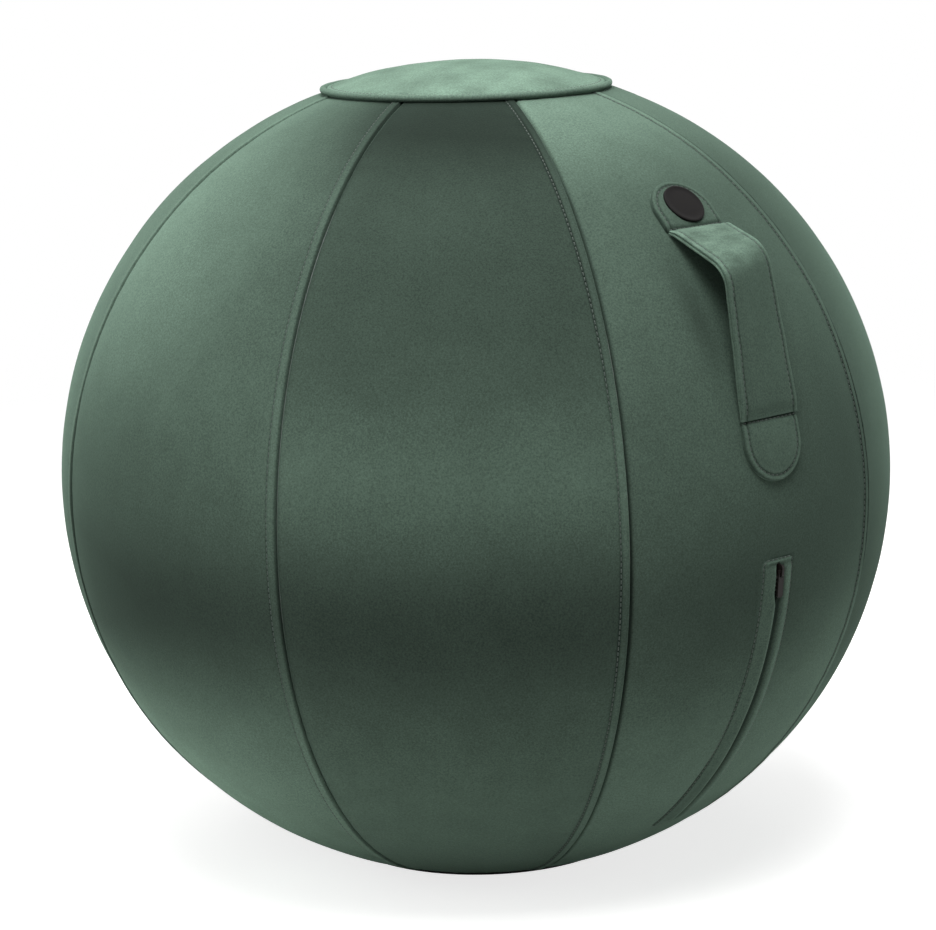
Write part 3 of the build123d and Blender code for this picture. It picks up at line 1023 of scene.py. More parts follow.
@dataclass(frozen=True)
class BasePanel:
    """Non-slip panel that the ball stands on."""

    skin: Skin
    finishes: Finishes
    radius: float = 114.0
    layer_gap: float = 0.3
    thickness: float = 2.0
    stitch_inset: float = 5.0
    columns: int = 240

    def build(self) -> None:
        """The panel: rings from the middle of its underside out to a rounded edge and back over its top.

        The underside is flat on the floor out to the foot's arc and then follows the skin; a shallow stitch
        ring is sunk near the edge.
        """
        azimuth = np.linspace(0, 360, self.columns, endpoint=False)[None, :]
        edge = self.skin.foot_angle_at_radius(self.radius)
        flat_radius, _ = self.skin.meridian(-90.0, 0.0)
        rise = np.linspace(-90.0, edge, 30)
        inset = np.radians(edge - rise) * self.skin.foot_blend
        outer = self.layer_gap + self.thickness - 0.5 * bell(inset, self.stitch_inset, 1.0)
        outer = outer - 0.9 * bell(inset, 0, 0.7)
        arc_out, arc_up = self.skin.meridian(rise, outer)
        back_out, back_up = self.skin.meridian(rise[::-1], self.layer_gap)
        disc = np.linspace(6.0, float(flat_radius), 14)[:-1]
        floor, lid = arc_up[0], back_up[-1]
        out = np.concatenate([disc, arc_out, back_out, disc[::-1]])[:, None]
        up = np.concatenate([np.full(len(disc), floor), arc_up, back_up, np.full(len(disc), lid)])[:, None]
        turn = np.radians(azimuth)
        points = np.stack(np.broadcast_arrays(out * np.sin(turn), -out * np.cos(turn), up), axis=-1)
        piece = closed_object("base_cloth", points, np.array([0, 0, floor]), np.array([0, 0, lid]))
        dress(piece, self.finishes.base, "base_rubber", "base_panel", "base_insert")


@dataclass(frozen=True)
class Handle:
    """Carrying strap: two sewn ends with round tips, a padded free span, its topstitching and the badge."""

    skin: Skin
    finishes: Finishes
    width: float = 57.0
    thickness: float = 5.0
    tab_thickness: float = 3.2
    layer_gap: float = 0.3
    top_stitch_angle: float = 41.6
    top_tip_angle: float = 49.6
    bottom_stitch_angle: float = 14.8
    bottom_tip_angle: float = 6.4
    corner_angle: float = 34.05
    standoff: float = 26.0
    climb: float = 1.25
    drop: float = 3.5
    bend: float = 24.0
    upper_flex: float = 16.0
    lower_flex: float = 56.0
    upper_rows: int = 30
    arc_rows: int = 24
    lower_rows: int = 74
    stitch_inset: float = 4.4
    crease: float = 0.8
    badge_angle: float = 45.4
    badge_diameter: float = 33.0
    badge_thickness: float = 1.6
    cut_run: float = 8.0

    def span(self, aside: float = 0.0) -> dict[str, Array]:
        """Corners of the strap's inside, as (out, up) in a plane `aside` mm right of the front meridian.

        The inside runs straight from each stitch line to a corner that stands off the skin, and the corner
        is rounded with the bend's radius. The corner climbs and nears the skin in step with `aside`.

        Args:
            aside: distance to the right of the strap's middle.

        Returns:
            The places top, bottom, bend_start, bend_end and middle, and the directions upper and lower.
        """
        share = 2 * aside / self.width
        corner_place = (self.corner_angle + self.climb * share, self.standoff - self.drop * share)
        top_place = (self.top_stitch_angle, self.layer_gap)
        bottom_place = (self.bottom_stitch_angle, self.layer_gap)
        places = (top_place, corner_place, bottom_place)
        top, corner, bottom = (np.array(self.skin.meridian(*place)) for place in places)
        upper, lower = unit(corner - top), unit(bottom - corner)
        half_turn = np.arccos(np.clip(upper @ lower, -1, 1)) / 2
        setback = self.bend * np.tan(half_turn)
        start = corner - setback * upper
        return {
            "top": top,
            "bottom": bottom,
            "bend_start": start,
            "bend_end": corner + setback * lower,
            "middle": start - self.bend * np.array([-upper[1], upper[0]]),
            "upper": upper,
            "lower": lower,
        }

    def path(self, aside: float = 0.0) -> tuple[Array, Array, Array]:
        """Inside line of the free span: straight, arc, straight, with the same number of points anywhere.

        Args:
            aside: distance to the right of the strap's middle.

        Returns:
            Places (out, up), outward directions and distances from the top stitch line.
        """
        span = self.span(aside)
        upper_normal, lower_normal = (np.array([-span[k][1], span[k][0]]) for k in ("upper", "lower"))
        first, last = (atan2(n[1], n[0]) for n in (upper_normal, lower_normal))
        turn = np.linspace(first, last, self.arc_rows + 2)[1:-1]
        arc_normals = np.stack([np.cos(turn), np.sin(turn)], axis=-1)
        upper_share = np.linspace(0, 1, self.upper_rows)[:, None]
        lower_share = np.linspace(0, 1, self.lower_rows)[:, None]
        places = np.concatenate(
            [
                span["top"] + upper_share * (span["bend_start"] - span["top"]),
                span["middle"] + self.bend * arc_normals,
                span["bend_end"] + lower_share * (span["bottom"] - span["bend_end"]),
            ]
        )
        normals = np.concatenate(
            [upper_normal + 0 * upper_share, arc_normals, lower_normal + 0 * lower_share]
        )
        return places, normals, lengths(np.linalg.norm(np.diff(places, axis=0), axis=1))

    def section(self) -> tuple[Array, Array]:
        """Closed cross-section of the strap: two layers with round edges and a notch between them.

        The face is slightly crowned between two sunk stitch lines; each layer's edge is a half round.

        Returns:
            Places across the strap and above its inside, in mm, clockwise seen along the strap.
        """
        half = self.width / 2
        layer = self.thickness * 0.46
        round_turn = np.linspace(-pi / 2, pi / 2, 9)
        edge_x = half - layer / 2 + layer / 2 * np.cos(round_turn)
        edge_h = layer / 2 + layer / 2 * np.sin(round_turn)
        reach = half - layer / 2
        back_x = np.linspace(-reach, reach, 26)[1:-1]
        back_h = 0.35 * bell(np.abs(back_x), half - self.stitch_inset, 0.9)
        right_rim, left_rim = np.linspace(reach, reach - 6, 16), np.linspace(6 - reach, -reach, 16)
        middle_x = np.linspace(reach - 6, 6 - reach, 18)[1:-1]
        face_x = np.concatenate([right_rim, middle_x, left_rim])[1:-1]
        inset = half - np.abs(face_x)
        face_h = self.thickness - 0.75 * bell(inset, self.stitch_inset, 0.9) + 0.5 * smoothstep(5, 14, inset)
        upper_edge = self.thickness - layer
        x = np.concatenate([back_x, edge_x, edge_x, face_x, -edge_x[::-1], -edge_x[::-1]])
        h = np.concatenate(
            [back_h, edge_h, upper_edge + edge_h, face_h, upper_edge + edge_h[::-1], edge_h[::-1]]
        )
        return x, h

    def strap_rings(self, x: Array, h: Array) -> Array:
        """Carries section points along the span.

        Each point lies between the paths of the strap's two edges, by its share of the width. The strap is
        pinched where it is sewn down, and its edges wander by a fraction of a millimetre.

        Args:
            x: places across the strap.
            h: heights above its inside.

        Returns:
            Rings of points (rows, section points, 3) in mm.
        """
        (left, left_normal, run), (right, right_normal, _) = (self.path(k * self.width / 2) for k in (-1, 1))
        share = (x / self.width + 0.5)[None, :, None]
        places = left[:, None] + share * (right - left)[:, None]
        normals = unit(left_normal[:, None] + share * (right_normal - left_normal)[:, None])
        pinch = 1 - 0.5 * bell(run, 0, 5) - 0.45 * bell(run, run[-1], 6)
        wander = 0.35 * ripple(run, 0 * run, 34, 31)
        sideways = x[None, :] + wander[:, None]
        proud = h[None, :] * pinch[:, None]
        proud = proud + 0.25 * ripple(run[:, None], x[None, :], 38, 33) * smoothstep(0, 12, run)[:, None]
        out = places[..., 0] + normals[..., 0] * proud
        up = places[..., 1] + normals[..., 1] * proud
        return np.stack([sideways, -out, up], axis=-1)

    def cut_row(self) -> int:
        """Row of the span at which its mesh is cut in two, on the straight lower run.

        Returns:
            The row's number.
        """
        span = self.span()
        places, _, _ = self.path()
        mark = span["bend_end"] + self.cut_run * span["lower"]
        return int(np.argmin(np.linalg.norm(places - mark, axis=1)))

    def blend_points(self, end: TabEnd) -> tuple[tuple[float, ...], tuple[float, ...]]:
        """Where the strap leaves the cover at one end, and where it follows the hand alone, in metres.

        Args:
            end: which end of the strap.

        Returns:
            The two places.
        """
        span = self.span()
        if end is TabEnd.TOP:
            start, finish = span["top"], span["top"] + self.upper_flex * span["upper"]
        else:
            start, finish = span["bottom"], span["bottom"] - self.lower_flex * span["lower"]
        return tuple((0.0, -p[0] * MM, p[1] * MM) for p in (start, finish))

    def bend_with_hand(self, piece: Object, finish: Material, end: TabEnd, *nodes: str) -> Object:
        """Finishes a piece of the free span: gives it its finish, hides the solids it stands for and bakes
        its place into its mesh.

        Args:
            piece: new piece.
            finish: its material.
            end: sewn end whose half of the strap the piece belongs to.
            nodes: solids that the piece stands for.

        Returns:
            The piece.
        """
        piece.data.materials.append(finish)
        if nodes:
            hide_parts(*nodes)
        start, stop = self.blend_points(end)
        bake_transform(piece)
        log.info("%s: %d faces, bends with the handle", piece.name, len(piece.data.polygons))
        return piece

    def build_strap(self) -> None:
        """The free span in two meshes, cut on the lower run, one for each sewn end."""
        x, h = self.section()
        rings = self.strap_rings(x, h)
        _, normals, run = self.path()
        # Painted light on the upper run where the strap faces up, mottled at random, and painted shade where
        # it does not face up.
        upper = smoothstep(0.35, 0.85, normals[:, 1])[:, None]
        places = (run[:, None], x[None, :])
        mottle = 0.6 * ripple(*places, 20, 34) + 0.4 * ripple(*places, 8, 35)
        inset = (self.width / 2 - np.abs(x))[None, :]
        # Painted highlight on the rolled edges and painted shade in the stitch lines.
        edge_highlight_stitch_shade = 0.3 * bell(inset, 1.2, 1.2) - 0.5 * bell(inset, self.stitch_inset, 1.1)
        tone_and_light = upper * (0.75 + mottle) - 0.12 * (1 - upper) + edge_highlight_stitch_shade
        cut = self.cut_row()
        halves = (
            (TabEnd.TOP, slice(0, cut + 1), ("handle_upper_flex", "grip_back", "grip_core")),
            (TabEnd.BOTTOM, slice(cut, None), ("handle_lower_flex", "grip_face")),
        )
        for end, rows, nodes in halves:
            part = rings[rows]
            name = "velvet_strap_" + end.name.lower()
            piece = closed_object(name, part, part[0].mean(axis=0), part[-1].mean(axis=0), flat_ends=True)
            paint_tone_and_light(piece, tone_and_light[rows])
            self.bend_with_hand(piece, self.finishes.velvet, end, *nodes)

    def build_strap_threads(self) -> None:
        """Topstitching along both edges of the strap's face, cut where the strap's mesh is cut."""
        half = self.width / 2 - self.stitch_inset
        level = self.thickness - 0.75 + 0.12
        cut = self.cut_row()
        _, normals, _ = self.path()
        outward = np.stack([0 * normals[:, 0], -normals[:, 0], normals[:, 1]], axis=-1)
        rings = self.strap_rings(np.array([-half, half]), np.array([level, level]))
        for end, rows in ((TabEnd.TOP, slice(3, cut)), (TabEnd.BOTTOM, slice(cut, -3))):
            lines = [Stitch().row(rings[rows, k], outward[rows]) for k in range(2)]
            piece = Stitch().build("strap_topstitching_" + end.name.lower(), lines)
            self.bend_with_hand(piece, self.finishes.thread, end)

    def tab_places(self, end: TabEnd) -> tuple[float, float]:
        """Angle of a tab's stitch line, and its length to the tip in mm.

        Args:
            end: which end of the strap.

        Returns:
            The angle in degrees and the length in mm.
        """
        if end is TabEnd.TOP:
            stitch, tip = self.top_stitch_angle, self.top_tip_angle
        else:
            stitch, tip = self.bottom_stitch_angle, self.bottom_tip_angle
        return stitch, radians(abs(tip - stitch)) * self.skin.crown_rise

    def tab_outline(self, length: float, inset: float, count: int) -> tuple[Array, Array]:
        """Outline of a sewn end: straight across the stitch line, up both sides and round the tip.

        Args:
            length: from the stitch line to the tip.
            inset: how far inside the edge the outline runs.
            count: number of points.

        Returns:
            Places across and along the tab, starting at the right end of the stitch line.
        """
        half = self.width / 2 - inset
        side = length - self.width / 2
        turn = np.linspace(0, pi, 60)
        across = np.concatenate([[half], half * np.cos(turn), [-half]])
        along = np.concatenate([[inset], side + half * np.sin(turn), [inset]])
        across, along = np.append(across, half), np.append(along, inset)
        run = lengths(np.hypot(np.diff(across), np.diff(along)))
        even = np.linspace(0, run[-1], count, endpoint=False)
        return np.interp(even, run, across), np.interp(even, run, along)

    def tab_inset(self, across: Array, along: Array, length: float) -> Array:
        """Distance inside a tab's edge: the nearer of its straight side and its round tip.

        Args:
            across: places across the tab.
            along: distances from the stitch line.
            length: from the stitch line to the tip.

        Returns:
            Distances in mm.
        """
        half = self.width / 2
        round_inset = half - np.hypot(across, np.maximum(along - (length - half), 0))
        return np.minimum(half - np.abs(across), round_inset)

    def tab_height(self, across: Array, along: Array, length: float) -> Array:
        """How proud a tab's top stands: a rolled edge, a sunk stitch line inside it, and a soft middle.

        Args:
            across: places across the tab.
            along: distances from the stitch line.
            length: from the stitch line to the tip.

        Returns:
            Heights outside the skin in mm.
        """
        inset = self.tab_inset(across, along, length)
        edge = rolled_edge(inset, 1.8)
        sewn = 0.45 + 0.55 * smoothstep(0, 5, along)
        groove = -0.9 * bell(inset, self.stitch_inset, 0.9)
        soft = 0.5 * smoothstep(5, 14, np.minimum(inset, along)) + 0.2 * ripple(across, along, 24, 51)
        return self.layer_gap + (self.tab_thickness * edge + groove + soft * edge) * sewn

    def place_tab(self, end: TabEnd, across: Array, along: Array, proud: Array) -> Array:
        """Lays a tab's own places on the skin; the bottom tab points down, so it is turned half round.

        Args:
            end: which end of the strap.
            across: places across the tab.
            along: distances from the stitch line.
            proud: distances outside the skin.

        Returns:
            Places in mm.
        """
        stitch, _ = self.tab_places(end)
        angle = stitch + end.value * self.skin.arc_angle(along)
        return self.skin.on_front(angle, end.value * across, proud)

    def build_tab(self, end: TabEnd) -> Object:
        """A sewn end: rings shrunk from the outline to the middle, for the top and for the underside.

        Args:
            end: which end of the strap.

        Returns:
            The tab's object.
        """
        _, length = self.tab_places(end)
        rim_x, rim_y = self.tab_outline(length, 0.0, 220)
        rim_y = np.maximum(rim_y, self.crease)
        middle_y = 0.45 * length
        inward = np.concatenate([np.linspace(0, 0.35, 26), np.linspace(0.35, 0.97, 16)[1:]])
        outward = np.linspace(0.97, 0.03, 8)
        share = 1 - np.concatenate([outward, inward])[:, None]
        across = rim_x[None, :] * share
        along = middle_y + (rim_y[None, :] - middle_y) * share
        top = self.tab_height(across, along, length)
        proud = np.where(np.arange(len(share))[:, None] < len(outward), self.layer_gap / 2, top)
        points = self.place_tab(end, across, along, proud)
        low, high = points[0].mean(axis=0), points[-1].mean(axis=0)
        node = f"handle_{end.name.lower()}_tab"
        piece = closed_object("velvet_tab_" + end.name.lower(), points, low, high)
        inset = self.tab_inset(across, along, length)
        # Painted shade in the stitch groove, along the cross stitch line and round the rim; a painted
        # highlight on the rolled edge.
        groove_and_rim_shade = 0.5 * bell(inset, self.stitch_inset, 1.2) + 0.45 * bell(along, 1.6, 1.6)
        groove_and_rim_shade = groove_and_rim_shade + 0.6 * bell(inset, 0, 0.9)
        paint_tone_and_light(piece, 0.22 * bell(inset, 2.2, 1.3) - groove_and_rim_shade)
        dress(piece, self.finishes.velvet, "velvet", node)
        return piece

    def build_tab_threads(self, end: TabEnd) -> Object:
        """Topstitching round a tab, inside its edge, and straight across it at the stitch line.

        Args:
            end: which end of the strap.

        Returns:
            The topstitching's object.
        """
        stitch, length = self.tab_places(end)
        round_x, round_y = self.tab_outline(length, self.stitch_inset, 400)
        keep = round_y > self.stitch_inset + 0.5
        cross_x = np.linspace(-1, 1, 60) * (self.width / 2 - 1.5)
        rows = []
        for across, along in ((round_x[keep], round_y[keep]), (cross_x, np.full(60, 1.6))):
            proud = self.tab_height(across, along, length) + 0.12
            line = self.place_tab(end, across, along, proud)
            angle = stitch + end.value * self.skin.arc_angle(along)
            rows.append(Stitch().row(line, self.skin.outward(angle, 0 * along)))
        piece = Stitch().build("tab_topstitching_" + end.name.lower(), rows)
        return dress(piece, self.finishes.thread, "velvet")

    def build_badge(self) -> Object:
        """Round badge: rings from its underside over a rounded edge, a raised rim and a level, bare face.

        Returns:
            The badge's object.
        """
        half = self.badge_diameter / 2
        floor = 2 * self.layer_gap + self.tab_thickness - 0.4
        turn = np.linspace(0, 2 * pi, 120, endpoint=False)[None, :]
        edge = np.linspace(0, pi / 2, 7)
        bevel = 0.7
        face = np.array([half - 1.6, half - 1.9, half - 2.2, 0.66 * half, 0.33 * half, 0.08 * half])
        drop = np.array([0.0, 0.08, 0.22, 0.22, 0.22, 0.22])
        radius = np.concatenate([[0.1 * half, 0.6 * half, half], half - bevel + bevel * np.cos(edge), face])
        top = floor + 0.4 + self.badge_thickness
        proud = np.concatenate([[floor] * 3, top - bevel + bevel * np.sin(edge), top - drop])
        across, along = radius[:, None] * np.cos(turn), radius[:, None] * np.sin(turn)
        angle = self.badge_angle + self.skin.arc_angle(along)
        points = self.skin.on_front(angle, across, proud[:, None] + 0 * turn)
        low, high = points[0].mean(axis=0), points[-1].mean(axis=0)
        piece = closed_object("bare_badge", points, low, high)
        return dress(piece, self.finishes.badge, "badge_rubber", "badge")

    def build(self) -> None:
        """Makes the strap, its two sewn ends, their topstitching and the badge."""
        self.build_strap()
        self.build_strap_threads()
        for end in TabEnd:
            self.build_tab(end)
            self.build_tab_threads(end)
        self.build_badge()


@dataclass(frozen=True)
class Zip:
    """Zip in the front gore: folded lips in a stitched frame, tapes, chain, slider and pull tab."""

    skin: Skin
    finishes: Finishes
    top_angle: float = -3.7
    bottom_angle: float = -51.8
    half_width: float = 16.0
    corner: float = 5.0
    lip_height: float = 2.5
    slit_half: float = 1.6
    mouth_half: float = 3.9
    mouth_end: float = 38.0
    bar: float = 3.0
    fold_depth: float = 3.2
    lip_thickness: float = 0.7
    shade: float = 1.3
    tape_inner: float = 3.55
    tape_outer: float = 14.0
    tape_level: float = -3.01
    tape_thickness: float = 0.8
    stitch_inset: float = 1.5

    @property
    def length(self) -> float:
        """Length of the frame along the skin."""
        return radians(self.top_angle - self.bottom_angle) * self.skin.crown_rise

    def frame_inset(self, sideways: Array, along: Array) -> Array:
        """Distance inside the frame, a rectangle with round corners, negative outside it.

        Args:
            sideways: distances from the front meridian.
            along: distances from the frame's top.

        Returns:
            Distances in mm.
        """
        reach = np.abs(sideways) - (self.half_width - self.corner)
        rise = np.abs(along - self.length / 2) - (self.length / 2 - self.corner)
        outside = np.hypot(np.maximum(reach, 0), np.maximum(rise, 0))
        return self.corner - outside - np.minimum(np.maximum(reach, rise), 0)

    def opening(self, along: Array) -> Array:
        """Half width of the slit: closed at both ends, and wider in the mouth that holds the slider.

        Args:
            along: distances from the frame's top.

        Returns:
            Half widths in mm.
        """
        ends = smoothstep(self.bar, self.bar + 3, along) * smoothstep(2, 8, self.length - along)
        mouth = smoothstep(self.bar, self.bar + 7, along) * (1 - smoothstep(26, self.mouth_end, along))
        return 0.05 + (self.slit_half - 0.05) * ends + (self.mouth_half - self.slit_half) * mouth

    def free(self, along: Array) -> Array:
        """How freely the lips part: 0 at the frame's two ends, where they are sewn together."""
        return smoothstep(self.bar, self.bar + 9, along) * smoothstep(2, 14, self.length - along)

    def lip_top(self, side: Side, sideways: Array, along: Array) -> Array:
        """How proud a lip stands, in mm.

        Both lips rise from the stitched frame. The left one stays high up to its fold, and the right one
        swells and then sinks towards the slit, so that the left overhangs it.

        Args:
            side: which lip.
            sideways: distance from the front meridian, without sign.
            along: distance from the frame's top.

        Returns:
            Heights outside the skin.
        """
        inset = self.frame_inset(sideways, along)
        edge = smoothstep(0, 1.6, inset)
        across = self.half_width - sideways
        if side is Side.LEFT:
            lift = (self.lip_height - 0.8) * smoothstep(1, 14, across)
        else:
            lift = 0.9 * bell(across, 6.0, 4.5) - 1.3 * smoothstep(7, 15, across)
        body = 0.8 + lift * self.free(along)
        stitch = -0.7 * bell(inset, self.stitch_inset, 0.7)
        bar = 0.6 * bell(along, self.bar, 1.2) - 0.5 * bell(along, self.bar + 2.6, 1.6)
        wave = 0.25 * ripple(along, 2 * sideways, 46, 70 + side.value) * smoothstep(2, 8, inset)
        return -0.7 + edge * (0.7 + body + stitch + bar + wave)

    def lip_light_and_shade(self, side: Side, sideways: Array, along: Array, from_fold: Array) -> Array:
        """Painted light and shade on a lip: shade in stitch lines and the right lip's dip, highlights on bar,
        fold and swell.

        Args:
            side: which lip.
            sideways: distance from the front meridian, without sign.
            along: distance from the frame's top.
            from_fold: distance from the fold at the slit.

        Returns:
            Shares by which the pile is paler.
        """
        inset = self.frame_inset(sideways, along)
        # Painted shade in the stitch lines and at the frame's edge, and a painted highlight on the top bar.
        stitch = -0.5 * bell(inset, self.stitch_inset, 1.0) - 0.4 * bell(inset, -0.2, 0.6)
        bar_highlight = 0.4 * bell(along, self.bar, 1.0)
        if side is Side.LEFT:
            # On the left lip, a painted highlight along the fold.
            return stitch + bar_highlight + 0.5 * bell(from_fold, 0.4, 0.9) * self.free(along) - 0.05
        across = self.half_width - sideways
        # Painted highlight on the right lip's swell, and painted shade where it sinks to the slit.
        swell = 0.4 * bell(across, 5.0, 2.6) - 0.4 * smoothstep(7, 12, across) - 0.8 * bell(from_fold, 0, 3)
        return stitch + bar_highlight + swell * self.free(along)

    def build_lip(self, side: Side) -> Object:
        """A lip: rows down the zip, columns from the frame to the fold and over it into the slit.

        Args:
            side: which lip.

        Returns:
            The lip's object.
        """
        below = np.linspace(12, self.length + 0.4, 150)[1:]
        along = np.concatenate([np.linspace(-0.4, 12, 30), below])[:, None]
        wander = 0.25 * ripple(along, 0 * along, 40, 90 + side.value)
        slit = self.opening(along) + wander * self.free(along)
        start = self.half_width + 0.4
        share = np.concatenate([np.linspace(0, 0.16, 9), np.linspace(0.16, 1, 24)[1:]])[None, :]
        fold = np.linspace(0, 1, 8)[None, 1:]
        flat = start + share * (slit - start)
        top = self.lip_top(side, flat, along)
        fold_in = slit - 0.45 * np.sin(pi * fold) * smoothstep(2, 10, along)
        fold_down = top[:, -1:] - self.fold_depth * fold**1.3
        sideways = np.concatenate([flat, np.maximum(fold_in, 0.04)], axis=1)
        proud = np.concatenate([top, fold_down], axis=1)
        angle = self.top_angle - self.skin.arc_angle(along)
        points = self.skin.on_front(angle, side.value * sideways, proud)
        tone_and_light = self.lip_light_and_shade(side, sideways, along, sideways - slit)
        # Little light gets down between the lips, so the pile is darkened with its depth below the fold.
        sunk = np.maximum(top[:, -1:] - proud, 0) * (np.arange(proud.shape[1]) >= flat.shape[1])
        tone_and_light = tone_and_light - self.shade * smoothstep(0.3, 1.6, sunk)
        if side is Side.LEFT:
            points, tone_and_light = points[:, ::-1], tone_and_light[:, ::-1]
        name = side.name.lower()
        piece = grid_object("velvet_zip_lip_" + name, points)
        paint_tone_and_light(piece, tone_and_light)
        thicken(piece, self.lip_thickness)
        dress(piece, self.finishes.velvet, "velvet", "zip_lip_" + name)
        return piece

    def build_threads(self) -> Object:
        """Topstitching round the frame, inside its edge.

        Returns:
            The topstitching's object.
        """
        half, low = self.half_width - self.stitch_inset, self.stitch_inset
        high = self.length - self.stitch_inset
        turn = np.linspace(0, pi / 2, 12)
        bow = self.corner - self.stitch_inset
        corner_x = np.concatenate([half - bow + bow * np.sin(turn), half - bow + bow * np.cos(turn)])
        corner_y = np.concatenate([low + bow - bow * np.cos(turn), high - bow + bow * np.sin(turn)])
        line_x = np.concatenate([[0.2], corner_x, [0.2]])
        line_y = np.concatenate([[low], corner_y, [high]])
        run = lengths(np.hypot(np.diff(line_x), np.diff(line_y)))
        even = np.linspace(0, run[-1], 600)
        sideways, along = np.interp(even, run, line_x), np.interp(even, run, line_y)
        angle = self.top_angle - self.skin.arc_angle(along)
        rows = []
        for side in Side:
            proud = self.lip_top(side, sideways, along) + 0.1
            line = self.skin.on_front(angle, side.value * sideways, proud)
            rows.append(Stitch().row(line, self.skin.outward(angle, 0 * angle)))
        return dress(Stitch().build("zip_topstitching", rows), self.finishes.thread, "velvet")

    def build_tape(self, side: Side) -> Object:
        """A tape: a strip beside the chain, level across, curved along the ball and ribbed lengthwise.

        Args:
            side: which tape.

        Returns:
            The tape's object.
        """
        along = np.linspace(0.6, self.length - 0.6, 120)[:, None]
        across = np.linspace(self.tape_inner, self.tape_outer, 34)[None, :]
        angle = self.top_angle - self.skin.arc_angle(along)
        rib = 0.06 * np.cos(2 * pi * (across - self.tape_inner) / 1.6) - 0.06
        out, up = self.skin.meridian(angle, self.tape_level + rib)
        points = np.stack(np.broadcast_arrays(side.value * across, -out, up), axis=-1)
        if side is Side.LEFT:
            points = points[:, ::-1]
        points = points[::-1]
        name = side.name.lower()
        piece = grid_object("woven_tape_" + name, points)
        thicken(piece, self.tape_thickness - 0.1)
        dress(piece, self.finishes.tape, "zip_tape", "zip_tape_" + name)
        return piece

    def build(self) -> None:
        """Makes the lips, tapes and topstitching, and finishes the chain, stops, slider and pull tab."""
        for side in Side:
            self.build_lip(side)
            self.build_tape(side)
        self.build_threads()
        for node in ("zip_teeth_left", "zip_teeth_right"):
            refinish(node, self.finishes.teeth)
        for node in ("zip_top_stop", "zip_bottom_stop", "zip_slider", "pull_tab"):
            refinish(node, self.finishes.metal)


def refinish(node: str, finish: Material) -> None:
    """Gives a solid that stays in view a better material in all its slots.

    Args:
        node: name of the solid.
        finish: its material.
    """
    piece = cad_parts[node]
    piece.data.materials.clear()
    piece.data.materials.append(finish)
    log.info("%s keeps its solid, with %s", node, finish.name)


@dataclass(frozen=True)
class Bladder:
    """Inflated vinyl bladder inside the cover, with its valve."""

    skin: Skin
    finishes: Finishes
    depth: float = 2.7
    groove_half: float = 15.5
    groove_depth: float = 3.8
    groove_high: float = -3.4
    groove_low: float = -52.1
    valve_azimuth: float = 15.0
    valve_angle: float = -25.0
    valve_radius: float = 13.2
    crowding: float = 32.0

    def build(self) -> None:
        """Rings from the foot to the crown, crowded at the front, pressed in at the zip and at the valve."""
        angle = np.concatenate([np.linspace(-90, self.skin.foot_angle, 16)[:-1], np.linspace(-66, 90, 150)])
        angle = np.sort(np.append(angle, self.skin.foot_angle))[:, None]
        azimuth = np.linspace(-180, 180, 360, endpoint=False)
        azimuth = (azimuth - self.crowding * np.sin(np.radians(azimuth)))[None, :]
        out, _ = self.skin.meridian(angle, 0.0)
        sideways = np.radians(azimuth) * out
        shore = self.skin.crown_rise * np.radians(1)
        within = smoothstep(-3, 0, (angle - self.groove_low) * shore)
        within = within * smoothstep(-3, 0, (self.groove_high - angle) * shore)
        level = (1 - smoothstep(self.groove_half, self.groove_half + 3, np.abs(sideways))) * within
        beside = np.hypot(np.radians(azimuth - self.valve_azimuth) * out, (angle - self.valve_angle) * shore)
        dimple = 1.6 * (1 - smoothstep(self.valve_radius - 1, self.valve_radius + 1, beside))
        proud = -self.depth - self.groove_depth * level - dimple
        points = self.skin.point(angle, azimuth, proud)
        heights = [float(self.skin.meridian(a, -self.depth)[1]) for a in (-90.0, 90.0)]
        low, high = (np.array([0.0, 0.0, z]) for z in heights)
        piece = closed_object("inflated_bladder", points, low, high)
        dress(piece, self.finishes.vinyl, "bladder_vinyl", "bladder")
        for node in ("valve_collar", "valve_plug"):
            refinish(node, self.finishes.valve)


